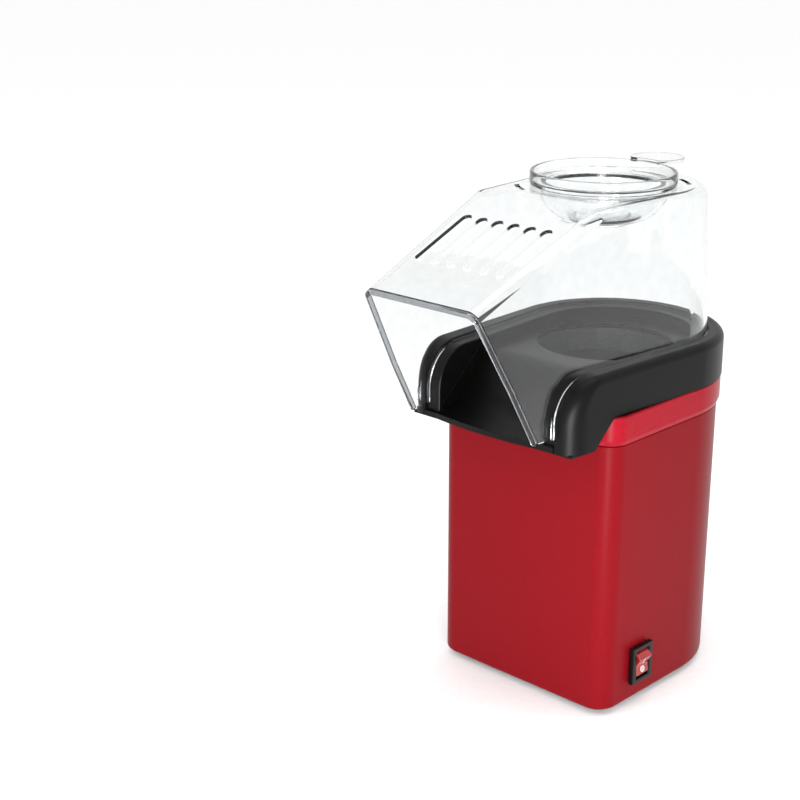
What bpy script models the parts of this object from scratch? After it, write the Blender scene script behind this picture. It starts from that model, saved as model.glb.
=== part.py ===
"""Hot-air popcorn maker: a lacquered housing with a fan, heater and popping chamber inside,
a black collar with a spout, a clear lift-off hood and a clear measuring cup.

The front (spout) faces -Y and the switch is on the +X side. Sizes are in metres; MM turns
millimetres into metres. Heights are above the surface that the feet stand on.
"""
import math

import bmesh
import bpy
from mathutils import Matrix, Vector

MM = 0.001
GAP = 0.3 * MM                      # left between pieces that touch
PAST = 5 * MM                       # how far a cutter runs past the wall that it cuts
SIDE_END = 200 * MM                 # side outlines run this far back and to each side

# Housing: flat front, straight sides and a round back whose radius is the half-width
BODY_RADIUS = 59.5 * MM
BODY_FRONT = 54.0 * MM              # from the frame's origin to the flat front
BODY_BACK_CENTRE = 21.5 * MM        # centre of the round back
BODY_CORNER = 11.0 * MM
BODY_BOTTOM = 3.0 * MM
BODY_TOP = 155.0 * MM
BODY_WALL = 2.2 * MM
BODY_DRAFT = 0.5 * MM               # narrower at the bottom by this on each side

# Trim band between housing and collar
BAND_HEIGHT = 15.7 * MM
BAND_PROUD = 1.5 * MM
BAND_WALL = 2.2 * MM
BAND_CHAMFER = 2.5 * MM
SPIGOT_DEPTH = 5.0 * MM
SPIGOT_WALL = 1.5 * MM

# Collar with its spout
COLLAR_PROUD = 2.0 * MM
COLLAR_HEIGHT = 24.2 * MM           # side wall and shoulder above the band
COLLAR_WALL = 2.5 * MM
COLLAR_CONVERGE = math.radians(3.0)  # the sides close in towards the spout
ARM_RADIUS = 24.0 * MM              # the side walls curve down to the spout
SPOUT_REACH = 30.0 * MM             # in front of the housing
SPOUT_DROP = 14.0 * MM              # the spout's underside is this far below the band's top
LEG_LENGTH = 18.0 * MM              # front to back, at the bottom
TRAY_LIP = 3.0 * MM                 # height of the spout's front edge
TRAY_FLAT_START = 50.0 * MM         # the tray is flat behind this distance from the lip
# Scoop of the tray in front of the flat: shares of that distance and of the rise
TRAY_SCOOP = ((0.0, 0.0), (0.18, 0.026), (0.3, 0.074), (0.4, 0.17), (0.48, 0.296), (0.54, 0.422),
              (0.6, 0.556), (0.66, 0.681), (0.73, 0.815), (0.81, 0.926), (0.9, 0.985), (1.0, 1.0))
TRAY_DEPTH = 8.5 * MM               # flat floor below the shoulder
TRAY_SIDE = 9.0 * MM                # hood seat to tray wall
TRAY_PLATE = 2.5 * MM
SEAT_STEP = 2.0 * MM                # the hood's seat lies below the shoulder
SHOULDER = 8.8 * MM                 # width of the shoulder at the back

# Clear hood
HOOD_CONVERGE = math.radians(4.7)
HOOD_DRAFT = math.tan(math.radians(3.3))
HOOD_WALL = 2.0 * MM
HOOD_HEIGHT = 81.5 * MM             # from its seat to its flat top
HOOD_ROUND = 8.0 * MM
HOOD_CORNER = 7.0 * MM
HOOD_CREASE = 48.0 * MM             # where the flat top starts to slope, in front of the origin
CHUTE_REACH = 51.8 * MM             # ridge of the chute in front of the spout's lip
CHUTE_DROP = 37.6 * MM              # ridge of the chute below the flat top
CHUTE_FOOT_REACH = 12.0 * MM        # lower corner of the chute in front of the lip
CHUTE_FOOT_HEIGHT = 7.3 * MM        # lower corner of the chute above the spout's underside
SLOT_COUNT = 6
SLOT_PITCH = 10.6 * MM
SLOT_WIDTH = 6.0 * MM
SLOT_LENGTH = 38.0 * MM
SLOT_START = 22.8 * MM              # from the crease
ARC_SLOT_MARGIN = 7.0 * MM             # cup's flange to the middle of the curved slots
ARC_SLOT_WIDTH = 3.0 * MM
ARC_SLOT_HALF_ANGLE = 14.0
ARC_SLOT_ANGLES = (52.0, 128.0, 232.0, 308.0)

# Measuring cup
CUP_CENTRE = 8.0 * MM               # behind the frame's origin
CUP_RADIUS = 33.5 * MM
CUP_FLANGE = CUP_RADIUS + 6.0 * MM
ARC_SLOT_RADIUS = CUP_FLANGE + ARC_SLOT_MARGIN
CUP_WALL = 2.0 * MM
CUP_DEPTH = 21.0 * MM
CUP_FOOT = 14.5 * MM
CUP_CURVE_END = 2.0 * MM               # the curved wall ends this far below the flange
CUP_RIM = 8.0 * MM                  # height of the rim above the flange's underside
TAB_RADIUS = 15.0 * MM
TAB_REACH = CUP_FLANGE + 9.5 * MM      # from the cup's axis to the tab's centre
TAB_THICKNESS = 2.0 * MM

# Base
PLATE_LIFT = 1.0 * MM               # the base plate lies this far inside the housing's rim
PLATE = 2.5 * MM
FOOT_RADIUS = 7.0 * MM
FOOT_STEM = 2.5 * MM
FOOT_FROM_FRONT = 13.3 * MM
FOOT_CORNER_ROOM = 10.0 * MM           # for the screw bosses outside the feet
FOOT_BACK = (0.55, 0.85)               # back feet, as shares of the front feet's distance
INLET_SLOTS = 7
INLET_PITCH = 7.0 * MM
INLET_WIDTH = 3.0 * MM
INLET_RADIUS = 25.0 * MM
BOSS_RADIUS = 4.0 * MM
BOSS_HEIGHT = 12.0 * MM
SCREW_RADIUS = 1.4 * MM
SCREW_HEAD = 2.8 * MM
SCREW_HEAD_HEIGHT = 1.6 * MM
SCREW_LENGTH = 9.0 * MM

# Popping chamber, duct and heater, on one upright axis
AXIS_Y = 14.0 * MM
CHAMBER_RADIUS = 38.5 * MM
CHAMBER_WALL = 1.0 * MM
CHAMBER_FLANGE = 3.8 * MM
CHAMBER_ROUND = 8.0 * MM
LOUVRES = 12
LOUVRE_WIDTH = 2.2 * MM
LOUVRE_LENGTH = 15.0 * MM
CLAMP_WIDTH = 3.8 * MM
CLAMP_THICKNESS = 2.4 * MM
DUCT_RADIUS = CHAMBER_RADIUS + 6.0 * MM
DUCT_WALL = 1.0 * MM
DUCT_OVERLAP = 46.0 * MM            # how far the duct goes up round the chamber
SHROUD_HEIGHT = 28.0 * MM
SHROUD_INLET = 24.0 * MM
MICA_HEIGHT = 13.0 * MM
MICA = 0.8 * MM
COIL_RADIUS = 27.0 * MM
COIL_TURN = 3.0 * MM
COIL_WIRE = 0.6 * MM
COIL_TURNS = 16
THERMOSTAT_RADIUS = 8.0 * MM
THERMOSTAT_HEIGHT = 5.0 * MM
FUSE_RADIUS = 2.0 * MM
FUSE_LENGTH = 12.0 * MM

# Motor and fan
MOTOR_LIFT = 2.0 * MM
MOTOR_RADIUS = 13.9 * MM
MOTOR_LENGTH = 32.0 * MM
MOTOR_WALL = 1.0 * MM
END_CAP = 3.0 * MM
ARMATURE_RADIUS = 11.3 * MM
ARMATURE_LENGTH = 21.0 * MM
SHAFT_RADIUS = 1.2 * MM
SHAFT_CLEARANCE = 0.05 * MM         # radial, in the armature and the fan's hub
SPIDER_PLATE = 2.4 * MM
SPIDER_LEGS = 3
SPIDER_LEG = (5.0 * MM, 9.0 * MM)   # radial and across
SPIDER_RISE = 3.5 * MM              # the legs carry the shroud above the spider's plate
FAN_RADIUS = DUCT_RADIUS - 7.5 * MM
FAN_HUB = 6.0 * MM
FAN_DISC = 1.2 * MM
FAN_HEIGHT = 13.0 * MM
FAN_BLADES = 8
FAN_BLADE = 1.2 * MM
FAN_CLEARANCE = 2.5 * MM

# Rectifier
BOARD = (30.0 * MM, 20.0 * MM, 1.6 * MM)
BOARD_CENTRE = (-22.0 * MM, -34.0 * MM)
BOARD_POST = 2.5 * MM
BOARD_LIFT = 4.0 * MM
DIODE_RADIUS = 1.5 * MM
DIODE_LENGTH = 7.0 * MM

# Rocker switch on the right side
SWITCH_Y = -23.0 * MM
SWITCH_Z = 24.4 * MM
BEZEL = (3.0 * MM, 17.5 * MM, 21.5 * MM)
SWITCH_BODY = (18.0 * MM, 13.0 * MM, 17.0 * MM)
ROCKER_WIDTH = 10.6 * MM
ROCKER_RADIUS = 7.6 * MM
ROCKER_PIVOT = 1.0 * MM             # the pivot is this far inside the housing's side
ROCKER_TILT = math.radians(11.0)
TERMINAL = (8.0 * MM, 0.8 * MM, 4.8 * MM)
TERMINAL_PITCH = 8.0 * MM

# Rear outlet bush
BUSH_Z = 20.0 * MM
BUSH_RADIUS = 5.0 * MM
BUSH_FLANGE = 7.5 * MM
BUSH_BORE = 3.3 * MM
BUSH_PROUD = 3.0 * MM
BUSH_INSIDE = 6.0 * MM
BUSH_ROUND = 1.0 * MM

# Heights and places that follow from the sizes above
BAND_BOTTOM = BODY_TOP + GAP
BAND_TOP = BAND_BOTTOM + BAND_HEIGHT
COLLAR_BOTTOM = BAND_TOP + GAP
COLLAR_TOP = COLLAR_BOTTOM + COLLAR_HEIGHT
COLLAR_RADIUS = BODY_RADIUS + COLLAR_PROUD
LIP_Y = -(BODY_FRONT + SPOUT_REACH)
SPOUT_BOTTOM = BAND_TOP - SPOUT_DROP
TRAY_FLAT = COLLAR_TOP - TRAY_DEPTH
TRAY_FLAT_Y = LIP_Y + TRAY_FLAT_START
SEAT_Z = COLLAR_TOP - SEAT_STEP
RIM_RADIUS = COLLAR_RADIUS - SHOULDER
HOOD_BOTTOM = SEAT_Z + GAP
HOOD_RADIUS = RIM_RADIUS - GAP
HOOD_TOP = HOOD_BOTTOM + HOOD_HEIGHT
RIDGE = Vector((LIP_Y - CHUTE_REACH, HOOD_TOP - CHUTE_DROP))
CHUTE_FOOT = Vector((LIP_Y - CHUTE_FOOT_REACH, SPOUT_BOTTOM + CHUTE_FOOT_HEIGHT))
PLATE_BOTTOM = BODY_BOTTOM + PLATE_LIFT
PLATE_TOP = PLATE_BOTTOM + PLATE
MOTOR_BOTTOM = PLATE_TOP + MOTOR_LIFT
CAN_BOTTOM = MOTOR_BOTTOM + END_CAP + GAP
CAN_TOP = CAN_BOTTOM + MOTOR_LENGTH
SPIDER_BOTTOM = CAN_TOP + GAP
SHROUD_BOTTOM = SPIDER_BOTTOM + SPIDER_PLATE + SPIDER_RISE + GAP
SHROUD_PLATE = 1.5 * MM
SHROUD_TOP = SHROUD_BOTTOM + SHROUD_HEIGHT
FAN_BOTTOM = SHROUD_BOTTOM + SHROUD_PLATE + FAN_CLEARANCE
DUCT_BOTTOM = SHROUD_TOP + GAP
MICA_BOTTOM = DUCT_BOTTOM + GAP
MICA_TOP = MICA_BOTTOM + MICA_HEIGHT
COIL_Z = MICA_TOP + GAP + COIL_WIRE + COIL_TURN
CHAMBER_BOTTOM = COIL_Z + COIL_TURN + 5 * COIL_WIRE
CHAMBER_TOP = TRAY_FLAT - TRAY_PLATE - GAP
DUCT_TOP = CHAMBER_BOTTOM + DUCT_OVERLAP
REACH_FRONT = -RIDGE.x
REACH_BACK = BODY_BACK_CENTRE + max(COLLAR_RADIUS, BODY_RADIUS + BUSH_PROUD)
FRAME_SHIFT = (REACH_FRONT - REACH_BACK) / 2     # puts the origin under the middle of the whole


def clear_scene():
    for thing in list(bpy.data.objects):
        bpy.data.objects.remove(thing, do_unlink=True)


def finish(name, colour, roughness, metallic=0.0, alpha=1.0):
    made = bpy.data.materials.get(name)
    if made:
        return made
    made = bpy.data.materials.new(name)
    made.use_nodes = True
    shader = made.node_tree.nodes["Principled BSDF"]
    shader.inputs["Base Color"].default_value = (*colour, 1.0)
    shader.inputs["Roughness"].default_value = roughness
    shader.inputs["Metallic"].default_value = metallic
    shader.inputs["Alpha"].default_value = alpha
    return made


def lacquer():
    return finish("red_lacquer", (0.36, 0.012, 0.022), 0.25, 0.35)


def black_plastic():
    return finish("black_plastic", (0.022, 0.022, 0.022), 0.5)


def clear_plastic():
    return finish("clear_plastic", (0.9, 0.93, 0.95), 0.05, 0.0, 0.25)


def aluminium():
    return finish("aluminium", (0.75, 0.76, 0.78), 0.35, 1.0)


def zinc_steel():
    return finish("zinc_steel", (0.6, 0.6, 0.62), 0.4, 1.0)


def rubber():
    return finish("rubber", (0.03, 0.03, 0.03), 0.85)


def mica():
    return finish("mica", (0.62, 0.52, 0.36), 0.5)


def add(name, bm, look, parent, origin=(0.0, 0.0, 0.0)):
    """One object from a bmesh that was built in the frame, with its own origin point."""
    bmesh.ops.translate(bm, vec=-Vector(origin), verts=bm.verts)
    bmesh.ops.remove_doubles(bm, verts=bm.verts, dist=0.001 * MM)
    bmesh.ops.recalc_face_normals(bm, faces=bm.faces)
    mesh = bpy.data.meshes.new(name)
    bm.to_mesh(mesh)
    bm.free()
    mesh.shade_smooth()
    mesh.set_sharp_from_angle(angle=math.radians(32))
    made = bpy.data.objects.new(name, mesh)
    made.location = origin
    made.parent = parent
    mesh.materials.append(look)
    bpy.context.scene.collection.objects.link(made)
    return made


def copy_at(name, source, origin):
    made = bpy.data.objects.new(name, source.data)
    made.location = origin
    made.parent = source.parent
    bpy.context.scene.collection.objects.link(made)
    return made


def combine(piece, other, operation="DIFFERENCE"):
    """Cuts, joins or limits a piece by another object, which becomes a hidden guide."""
    step = piece.modifiers.new(other.name, "BOOLEAN")
    step.object = other
    step.operation = operation
    step.solver = "EXACT"
    other.hide_render = True
    other.display_type = "WIRE"


def arc(centre, radius, start, end, steps):
    """Points on an arc in a plane, angles in degrees."""
    turns = [math.radians(start + (end - start) * k / steps) for k in range(steps + 1)]
    return [Vector((centre[0] + radius * math.cos(t), centre[1] + radius * math.sin(t)))
            for t in turns]


def d_outline(radius, front, corner, converge=0.0, back_steps=24, corner_steps=4):
    """The loop of a D-shaped plan: round back, sides that may close in, rounded front corners."""
    tilt = math.degrees(converge)
    corner_y = front + corner
    reach = radius - corner - math.sin(converge) * (BODY_BACK_CENTRE - corner_y)
    corner_x = reach / math.cos(converge)
    loop = arc((0, BODY_BACK_CENTRE), radius, -tilt, 180 + tilt, back_steps)
    loop += arc((-corner_x, corner_y), corner, 180 + tilt, 270, corner_steps)
    loop += arc((corner_x, corner_y), corner, 270, 360 - tilt, corner_steps)
    return loop


def loft(levels, ring=False):
    """A solid through loops of equal length, each a list of points and a height."""
    bm = bmesh.new()
    rings = [[bm.verts.new((p.x, p.y, height)) for p in loop] for loop, height in levels]
    pairs = list(zip(rings, rings[1:]))
    if ring:
        pairs.append((rings[-1], rings[0]))
    else:
        bm.faces.new(rings[0])
        bm.faces.new(rings[-1])
    for lower, upper in pairs:
        for k in range(len(lower)):
            n = (k + 1) % len(lower)
            bm.faces.new((lower[k], lower[n], upper[n], upper[k]))
    return bm


def side_prism(profile, half_width):
    """A prism across the object from a side outline of (y, z) points."""
    bm = bmesh.new()
    left = [bm.verts.new((-half_width, p[0], p[1])) for p in profile]
    made = bmesh.ops.extrude_face_region(bm, geom=[bm.faces.new(left)])
    moved = [v for v in made["geom"] if isinstance(v, bmesh.types.BMVert)]
    bmesh.ops.translate(bm, vec=(2 * half_width, 0, 0), verts=moved)
    return bm


def turned(profile, centre=(0.0, 0.0), steps=32, closed=False):
    """A turned solid from (radius, height) points; closed means a ring's whole section."""
    bm = bmesh.new()
    verts = [bm.verts.new((centre[0] + r, centre[1], z)) for r, z in profile]
    ends = list(zip(verts, verts[1:]))
    if closed:
        ends.append((verts[-1], verts[0]))
    edges = [bm.edges.new(pair) for pair in ends]
    bmesh.ops.spin(bm, geom=verts + edges, cent=(centre[0], centre[1], 0), axis=(0, 0, 1),
                   angle=2 * math.pi, steps=steps, use_merge=True)
    bmesh.ops.remove_doubles(bm, verts=bm.verts, dist=0.001 * MM)
    return bm


def cylinder(radius, bottom, top, centre=(0.0, 0.0), steps=24):
    return turned([(0, bottom), (radius, bottom), (radius, top), (0, top)], centre, steps)


def lying_cylinder(radius, length, centre, along, steps=12):
    """A cylinder whose axis lies along X or Y."""
    bm = cylinder(radius, -length / 2, length / 2, steps=steps)
    turn = Matrix.Rotation(math.pi / 2, 4, "Y" if along == "X" else "X")
    bmesh.ops.transform(bm, matrix=Matrix.Translation(centre) @ turn, verts=bm.verts)
    return bm


def block(size, centre, spin=0.0, bm=None):
    """A box, turned about the upright line through the frame's origin if spin is given."""
    bm = bm or bmesh.new()
    place = Matrix.Rotation(spin, 4, "Z") @ Matrix.Translation(centre)
    bmesh.ops.create_cube(bm, size=1.0, matrix=place @ Matrix.Diagonal((*size, 1.0)))
    return bm


def slot_outline(width, length, centre):
    """A slot with round ends that runs along Y."""
    half = (length - width) / 2
    loop = arc((centre[0], centre[1] + half), width / 2, 0, 180, 6)
    loop += arc((centre[0], centre[1] - half), width / 2, 180, 360, 6)
    return loop


def join(parts):
    """One bmesh from several that don't touch."""
    whole = bmesh.new()
    for part in parts:
        mesh = bpy.data.meshes.new("part")
        part.to_mesh(mesh)
        part.free()
        whole.from_mesh(mesh)
        bpy.data.meshes.remove(mesh)
    return whole


def body_outline(inset=0.0, radius=BODY_RADIUS):
    return d_outline(radius - inset, -BODY_FRONT + inset, BODY_CORNER - inset)


def boss_places():
    """Where the base screws stand: beside the side walls and in the round back."""
    inner = BODY_RADIUS - BODY_DRAFT - BODY_WALL
    side = inner - BOSS_RADIUS + 0.7 * MM
    front = -BODY_FRONT + BODY_CORNER + 1.5 * BOSS_RADIUS
    back = Vector((math.cos(math.radians(40)), math.sin(math.radians(40)))) * side
    return [(side, front), (-side, front),
            (back.x, BODY_BACK_CENTRE + back.y), (-back.x, BODY_BACK_CENTRE + back.y)]


def make_housing(frame):
    low = BODY_RADIUS - BODY_DRAFT
    housing = add("housing", loft([
        (body_outline(radius=low), BODY_BOTTOM), (body_outline(), BODY_TOP),
        (body_outline(BODY_WALL), BODY_TOP), (body_outline(BODY_WALL, low), BODY_BOTTOM),
    ], ring=True), lacquer(), frame)
    boss_bottom = PLATE_TOP + GAP
    bosses = [cylinder(BOSS_RADIUS, boss_bottom, boss_bottom + BOSS_HEIGHT, p, 16)
              for p in boss_places()]
    combine(housing, add("boss_guide", join(bosses), lacquer(), frame), "UNION")
    holes = [cylinder(SCREW_RADIUS + GAP, boss_bottom - PAST, boss_bottom + SCREW_LENGTH, p, 12)
             for p in boss_places()]
    combine(housing, add("boss_hole_guide", join(holes), lacquer(), frame))
    window = block((4 * PAST, SWITCH_BODY[1] + 2 * GAP, SWITCH_BODY[2] + 2 * GAP),
                   (BODY_RADIUS, SWITCH_Y, SWITCH_Z))
    combine(housing, add("switch_window_guide", window, lacquer(), frame))
    back = (0, BODY_BACK_CENTRE + BODY_RADIUS, BUSH_Z)
    hole = lying_cylinder(BUSH_RADIUS + GAP, 4 * PAST, back, "Y", 20)
    combine(housing, add("bush_hole_guide", hole, lacquer(), frame))


def make_trim_band(frame):
    spigot = BODY_WALL + GAP
    add("trim_band", loft([
        (body_outline(), BAND_BOTTOM),
        (body_outline(-BAND_PROUD), BAND_BOTTOM + BAND_CHAMFER),
        (body_outline(-BAND_PROUD), BAND_TOP),
        (body_outline(BAND_WALL - BAND_PROUD), BAND_TOP),
        (body_outline(spigot + SPIGOT_WALL), BAND_BOTTOM + BAND_CHAMFER),
        (body_outline(spigot + SPIGOT_WALL), BAND_BOTTOM - SPIGOT_DEPTH),
        (body_outline(spigot), BAND_BOTTOM - SPIGOT_DEPTH),
        (body_outline(spigot), BAND_BOTTOM),
    ], ring=True), finish("red_band", (0.52, 0.012, 0.045), 0.28, 0.3), frame)


def arm_profile(inset, bottom):
    """Side outline of the collar's top and curved front, lowered and set back by inset."""
    radius = ARM_RADIUS - inset
    centre = (LIP_Y + ARM_RADIUS, COLLAR_TOP - ARM_RADIUS)
    front = arc(centre, radius, 90, 174, 8)
    return [Vector((SIDE_END, COLLAR_TOP - inset))] + front + [
        Vector((LIP_Y - PAST, front[-1].y)), Vector((LIP_Y - PAST, bottom))]


def scoop(drop):
    """Floor line of the tray from the lip to the flat, lowered by drop."""
    lip = SPOUT_BOTTOM + TRAY_LIP
    return [Vector((LIP_Y + reach * TRAY_FLAT_START, lip + rise * (TRAY_FLAT - lip) - drop))
            for reach, rise in TRAY_SCOOP]


def tray_profile(top):
    """Side outline of the space above the tray."""
    front = LIP_Y - 6 * PAST
    return [Vector((front, SPOUT_BOTTOM + TRAY_LIP - GAP))] + scoop(0.0) + [
        Vector((SIDE_END, TRAY_FLAT)), Vector((SIDE_END, top)), Vector((front, top))]


def make_collar(frame):
    black = black_plastic()

    def plan(inset, front=None, corner=BODY_CORNER):
        where = LIP_Y + inset if front is None else front
        return d_outline(COLLAR_RADIUS - inset, where, corner, COLLAR_CONVERGE)

    outline = plan(0.0)
    collar = add("collar", loft([(outline, SPOUT_BOTTOM), (outline, COLLAR_TOP + PAST)]), black, frame)
    side = arm_profile(0.0, SPOUT_BOTTOM - PAST)
    leg_back = LIP_Y + LEG_LENGTH
    step_front = leg_back + (COLLAR_BOTTOM - SPOUT_BOTTOM)
    side += [Vector((leg_back, SPOUT_BOTTOM - PAST)), Vector((leg_back, SPOUT_BOTTOM)),
             Vector((step_front, COLLAR_BOTTOM)), Vector((SIDE_END, COLLAR_BOTTOM))]
    combine(collar, add("collar_side_guide", side_prism(side, SIDE_END), black, frame), "INTERSECT")

    band = body_outline(-BAND_PROUD - GAP)
    combine(collar, add("band_room_guide", loft([(band, SPOUT_BOTTOM - PAST), (band, COLLAR_BOTTOM)]),
                        black, frame))

    def rim(inset):
        return d_outline(RIM_RADIUS - inset, LIP_Y - 4 * PAST, BODY_CORNER, HOOD_CONVERGE)

    seat = add("seat_guide", loft([(rim(0), SPOUT_BOTTOM - PAST), (rim(0), COLLAR_TOP + 1.5 * PAST)]),
               black, frame)
    above = arm_profile(SEAT_STEP, SPOUT_BOTTOM + TRAY_LIP)
    far = LIP_Y - 6 * PAST
    above += [Vector((far, SPOUT_BOTTOM + TRAY_LIP)), Vector((far, COLLAR_TOP + 2 * PAST)),
              Vector((SIDE_END, COLLAR_TOP + 2 * PAST))]
    combine(seat, add("seat_side_guide", side_prism(above, SIDE_END), black, frame), "INTERSECT")
    combine(collar, seat)

    top = COLLAR_TOP + 3 * PAST
    tray = add("tray_guide", loft([(rim(TRAY_SIDE), SPOUT_BOTTOM - PAST), (rim(TRAY_SIDE), top)]),
               black, frame)
    floor = side_prism(tray_profile(top + PAST), SIDE_END)
    combine(tray, add("tray_floor_guide", floor, black, frame), "INTERSECT")
    combine(collar, tray)

    ring_front = TRAY_FLAT_Y
    channel = add("channel_guide", loft([(plan(COLLAR_WALL, ring_front), SPOUT_BOTTOM),
                                         (plan(COLLAR_WALL, ring_front), SEAT_Z - COLLAR_WALL)]),
                  black, frame)
    core = rim(TRAY_SIDE - COLLAR_WALL)
    combine(channel, add("channel_core_guide", loft([(core, SPOUT_BOTTOM - PAST), (core, top)]),
                         black, frame))
    combine(collar, channel)
    below = d_outline(RIM_RADIUS - TRAY_SIDE, LIP_Y + 2 * COLLAR_WALL, BODY_CORNER, HOOD_CONVERGE)
    hollow = add("hollow_guide", loft([(below, SPOUT_BOTTOM - PAST), (below, top)]), black, frame)
    under = scoop(TRAY_PLATE)
    under += [Vector((SIDE_END, TRAY_FLAT - TRAY_PLATE)), Vector((SIDE_END, SPOUT_BOTTOM - 2 * PAST)),
              Vector((LIP_Y, SPOUT_BOTTOM - 2 * PAST))]
    combine(hollow, add("hollow_side_guide", side_prism(under, SIDE_END), black, frame), "INTERSECT")
    combine(collar, hollow)
    mouth = cylinder(CHAMBER_RADIUS - CHAMBER_WALL, CHAMBER_TOP - PAST, top, (0, AXIS_Y), 40)
    combine(collar, add("mouth_guide", mouth, black, frame))


def hood_levels(inset, past):
    """Levels of the hood's outer surface, or of its inside when inset is the wall."""
    top = HOOD_TOP - inset
    rise = (HOOD_TOP - RIDGE.y) / (-HOOD_CREASE - RIDGE.x)
    slant = (CHUTE_FOOT.x - RIDGE.x) / (RIDGE.y - CHUTE_FOOT.y)
    drop = inset * math.hypot(1.0, rise)

    def front(z):
        plane = RIDGE.x + (RIDGE.y - z) * slant - past
        return max(plane, RIDGE.x + (z + drop - RIDGE.y) / rise)

    def level(z, extra=0.0):
        radius = HOOD_RADIUS - inset - HOOD_DRAFT * max(0.0, z - HOOD_BOTTOM) - extra
        where = front(z) + extra
        return (d_outline(radius, where, HOOD_CORNER - inset, HOOD_CONVERGE, 28, 4), z)

    turn = HOOD_ROUND - inset
    ridge = (RIDGE.y - drop) if past == 0 else RIDGE.y - (drop + rise * past) / (1 + rise * slant)
    heights = [CHUTE_FOOT.y - PAST, HOOD_BOTTOM, ridge, (ridge + top - turn) / 2, top - turn]
    levels = [level(z) for z in heights]
    for k in range(1, 5):
        angle = math.radians(90 * k / 4)
        levels.append(level(top - turn + turn * math.sin(angle), turn * (1 - math.cos(angle))))
    return levels


def make_hood(frame):
    clear = clear_plastic()
    hood = add("hood", loft(hood_levels(0.0, 0.0)), clear, frame)
    combine(hood, add("hood_inside_guide", loft(hood_levels(HOOD_WALL, 3 * PAST)), clear, frame))
    seat = arm_profile(SEAT_STEP - GAP, CHUTE_FOOT.y + HOOD_WALL)
    seat += [Vector((LIP_Y - CHUTE_FOOT_REACH / 2, CHUTE_FOOT.y)),
             Vector((RIDGE.x, CHUTE_FOOT.y)), Vector((RIDGE.x, 0)), Vector((SIDE_END, 0))]
    combine(hood, add("hood_seat_guide", side_prism(seat, SIDE_END), clear, frame))
    low, high = HOOD_TOP - CHUTE_DROP - PAST, HOOD_TOP + PAST
    middle = -HOOD_CREASE - SLOT_START - SLOT_LENGTH / 2
    slots = []
    for k in range(SLOT_COUNT):
        x = (k - (SLOT_COUNT - 1) / 2) * SLOT_PITCH
        outline = slot_outline(SLOT_WIDTH, SLOT_LENGTH, (x, middle))
        slots.append(loft([(outline, low), (outline, high)]))
    for angle in ARC_SLOT_ANGLES:
        start, end = angle - ARC_SLOT_HALF_ANGLE, angle + ARC_SLOT_HALF_ANGLE
        centre = (0, CUP_CENTRE)
        outline = arc(centre, ARC_SLOT_RADIUS + ARC_SLOT_WIDTH / 2, start, end, 5)
        outline += arc(centre, ARC_SLOT_RADIUS - ARC_SLOT_WIDTH / 2, end, start, 5)
        slots.append(loft([(outline, HOOD_TOP - 2 * PAST), (outline, high)]))
    slots.append(cylinder(CUP_RADIUS + GAP, HOOD_TOP - 2 * PAST, high, (0, CUP_CENTRE), 36))
    combine(hood, add("hood_slot_guide", join(slots), clear, frame))


def make_measuring_cup(frame):
    flange = HOOD_TOP + GAP
    rim = flange + CUP_RIM
    bottom = flange - CUP_DEPTH
    wall = CUP_WALL
    outside = [(0, bottom), (CUP_FOOT, bottom)]
    outside += [(CUP_FOOT + (CUP_RADIUS - CUP_FOOT) * math.sin(t),
                 bottom + (CUP_DEPTH - CUP_CURVE_END) * (1 - math.cos(t)))
                for t in (math.radians(90 * k / 5) for k in range(1, 6))]
    outside += [(CUP_RADIUS, flange), (CUP_FLANGE, flange), (CUP_FLANGE, rim),
                (CUP_FLANGE - wall, rim), (CUP_FLANGE - wall, flange + wall)]
    inner = CUP_RADIUS - wall
    inside = [(inner, flange + wall)]
    inside += [(CUP_FOOT - wall / 2 + (inner - CUP_FOOT + wall / 2) * math.sin(t),
                bottom + wall + (CUP_DEPTH - CUP_CURVE_END) * (1 - math.cos(t)))
               for t in (math.radians(90 * k / 5) for k in range(5, 0, -1))]
    inside += [(CUP_FOOT - wall / 2, bottom + wall), (0, bottom + wall)]
    cup = add("measuring_cup", turned(outside + inside, (0, CUP_CENTRE), 32), clear_plastic(),
              frame)
    tab = cylinder(TAB_RADIUS, rim - TAB_THICKNESS, rim + TAB_THICKNESS / 2,
                   (0, CUP_CENTRE + TAB_REACH), 24)
    combine(cup, add("tab_guide", tab, clear_plastic(), frame), "UNION")
    inner_bowl = cylinder(CUP_FLANGE - wall / 2, rim - 2 * TAB_THICKNESS, rim + PAST,
                          (0, CUP_CENTRE), 40)
    combine(cup, add("tab_trim_guide", inner_bowl, clear_plastic(), frame))


def foot_places():
    side = BODY_RADIUS - BODY_DRAFT - BODY_WALL - FOOT_RADIUS - FOOT_CORNER_ROOM
    front = FOOT_FROM_FRONT - BODY_FRONT
    across, behind = FOOT_BACK[0] * side, BODY_BACK_CENTRE + FOOT_BACK[1] * side
    return [(side, front), (-side, front), (across, behind), (-across, behind)]


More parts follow.
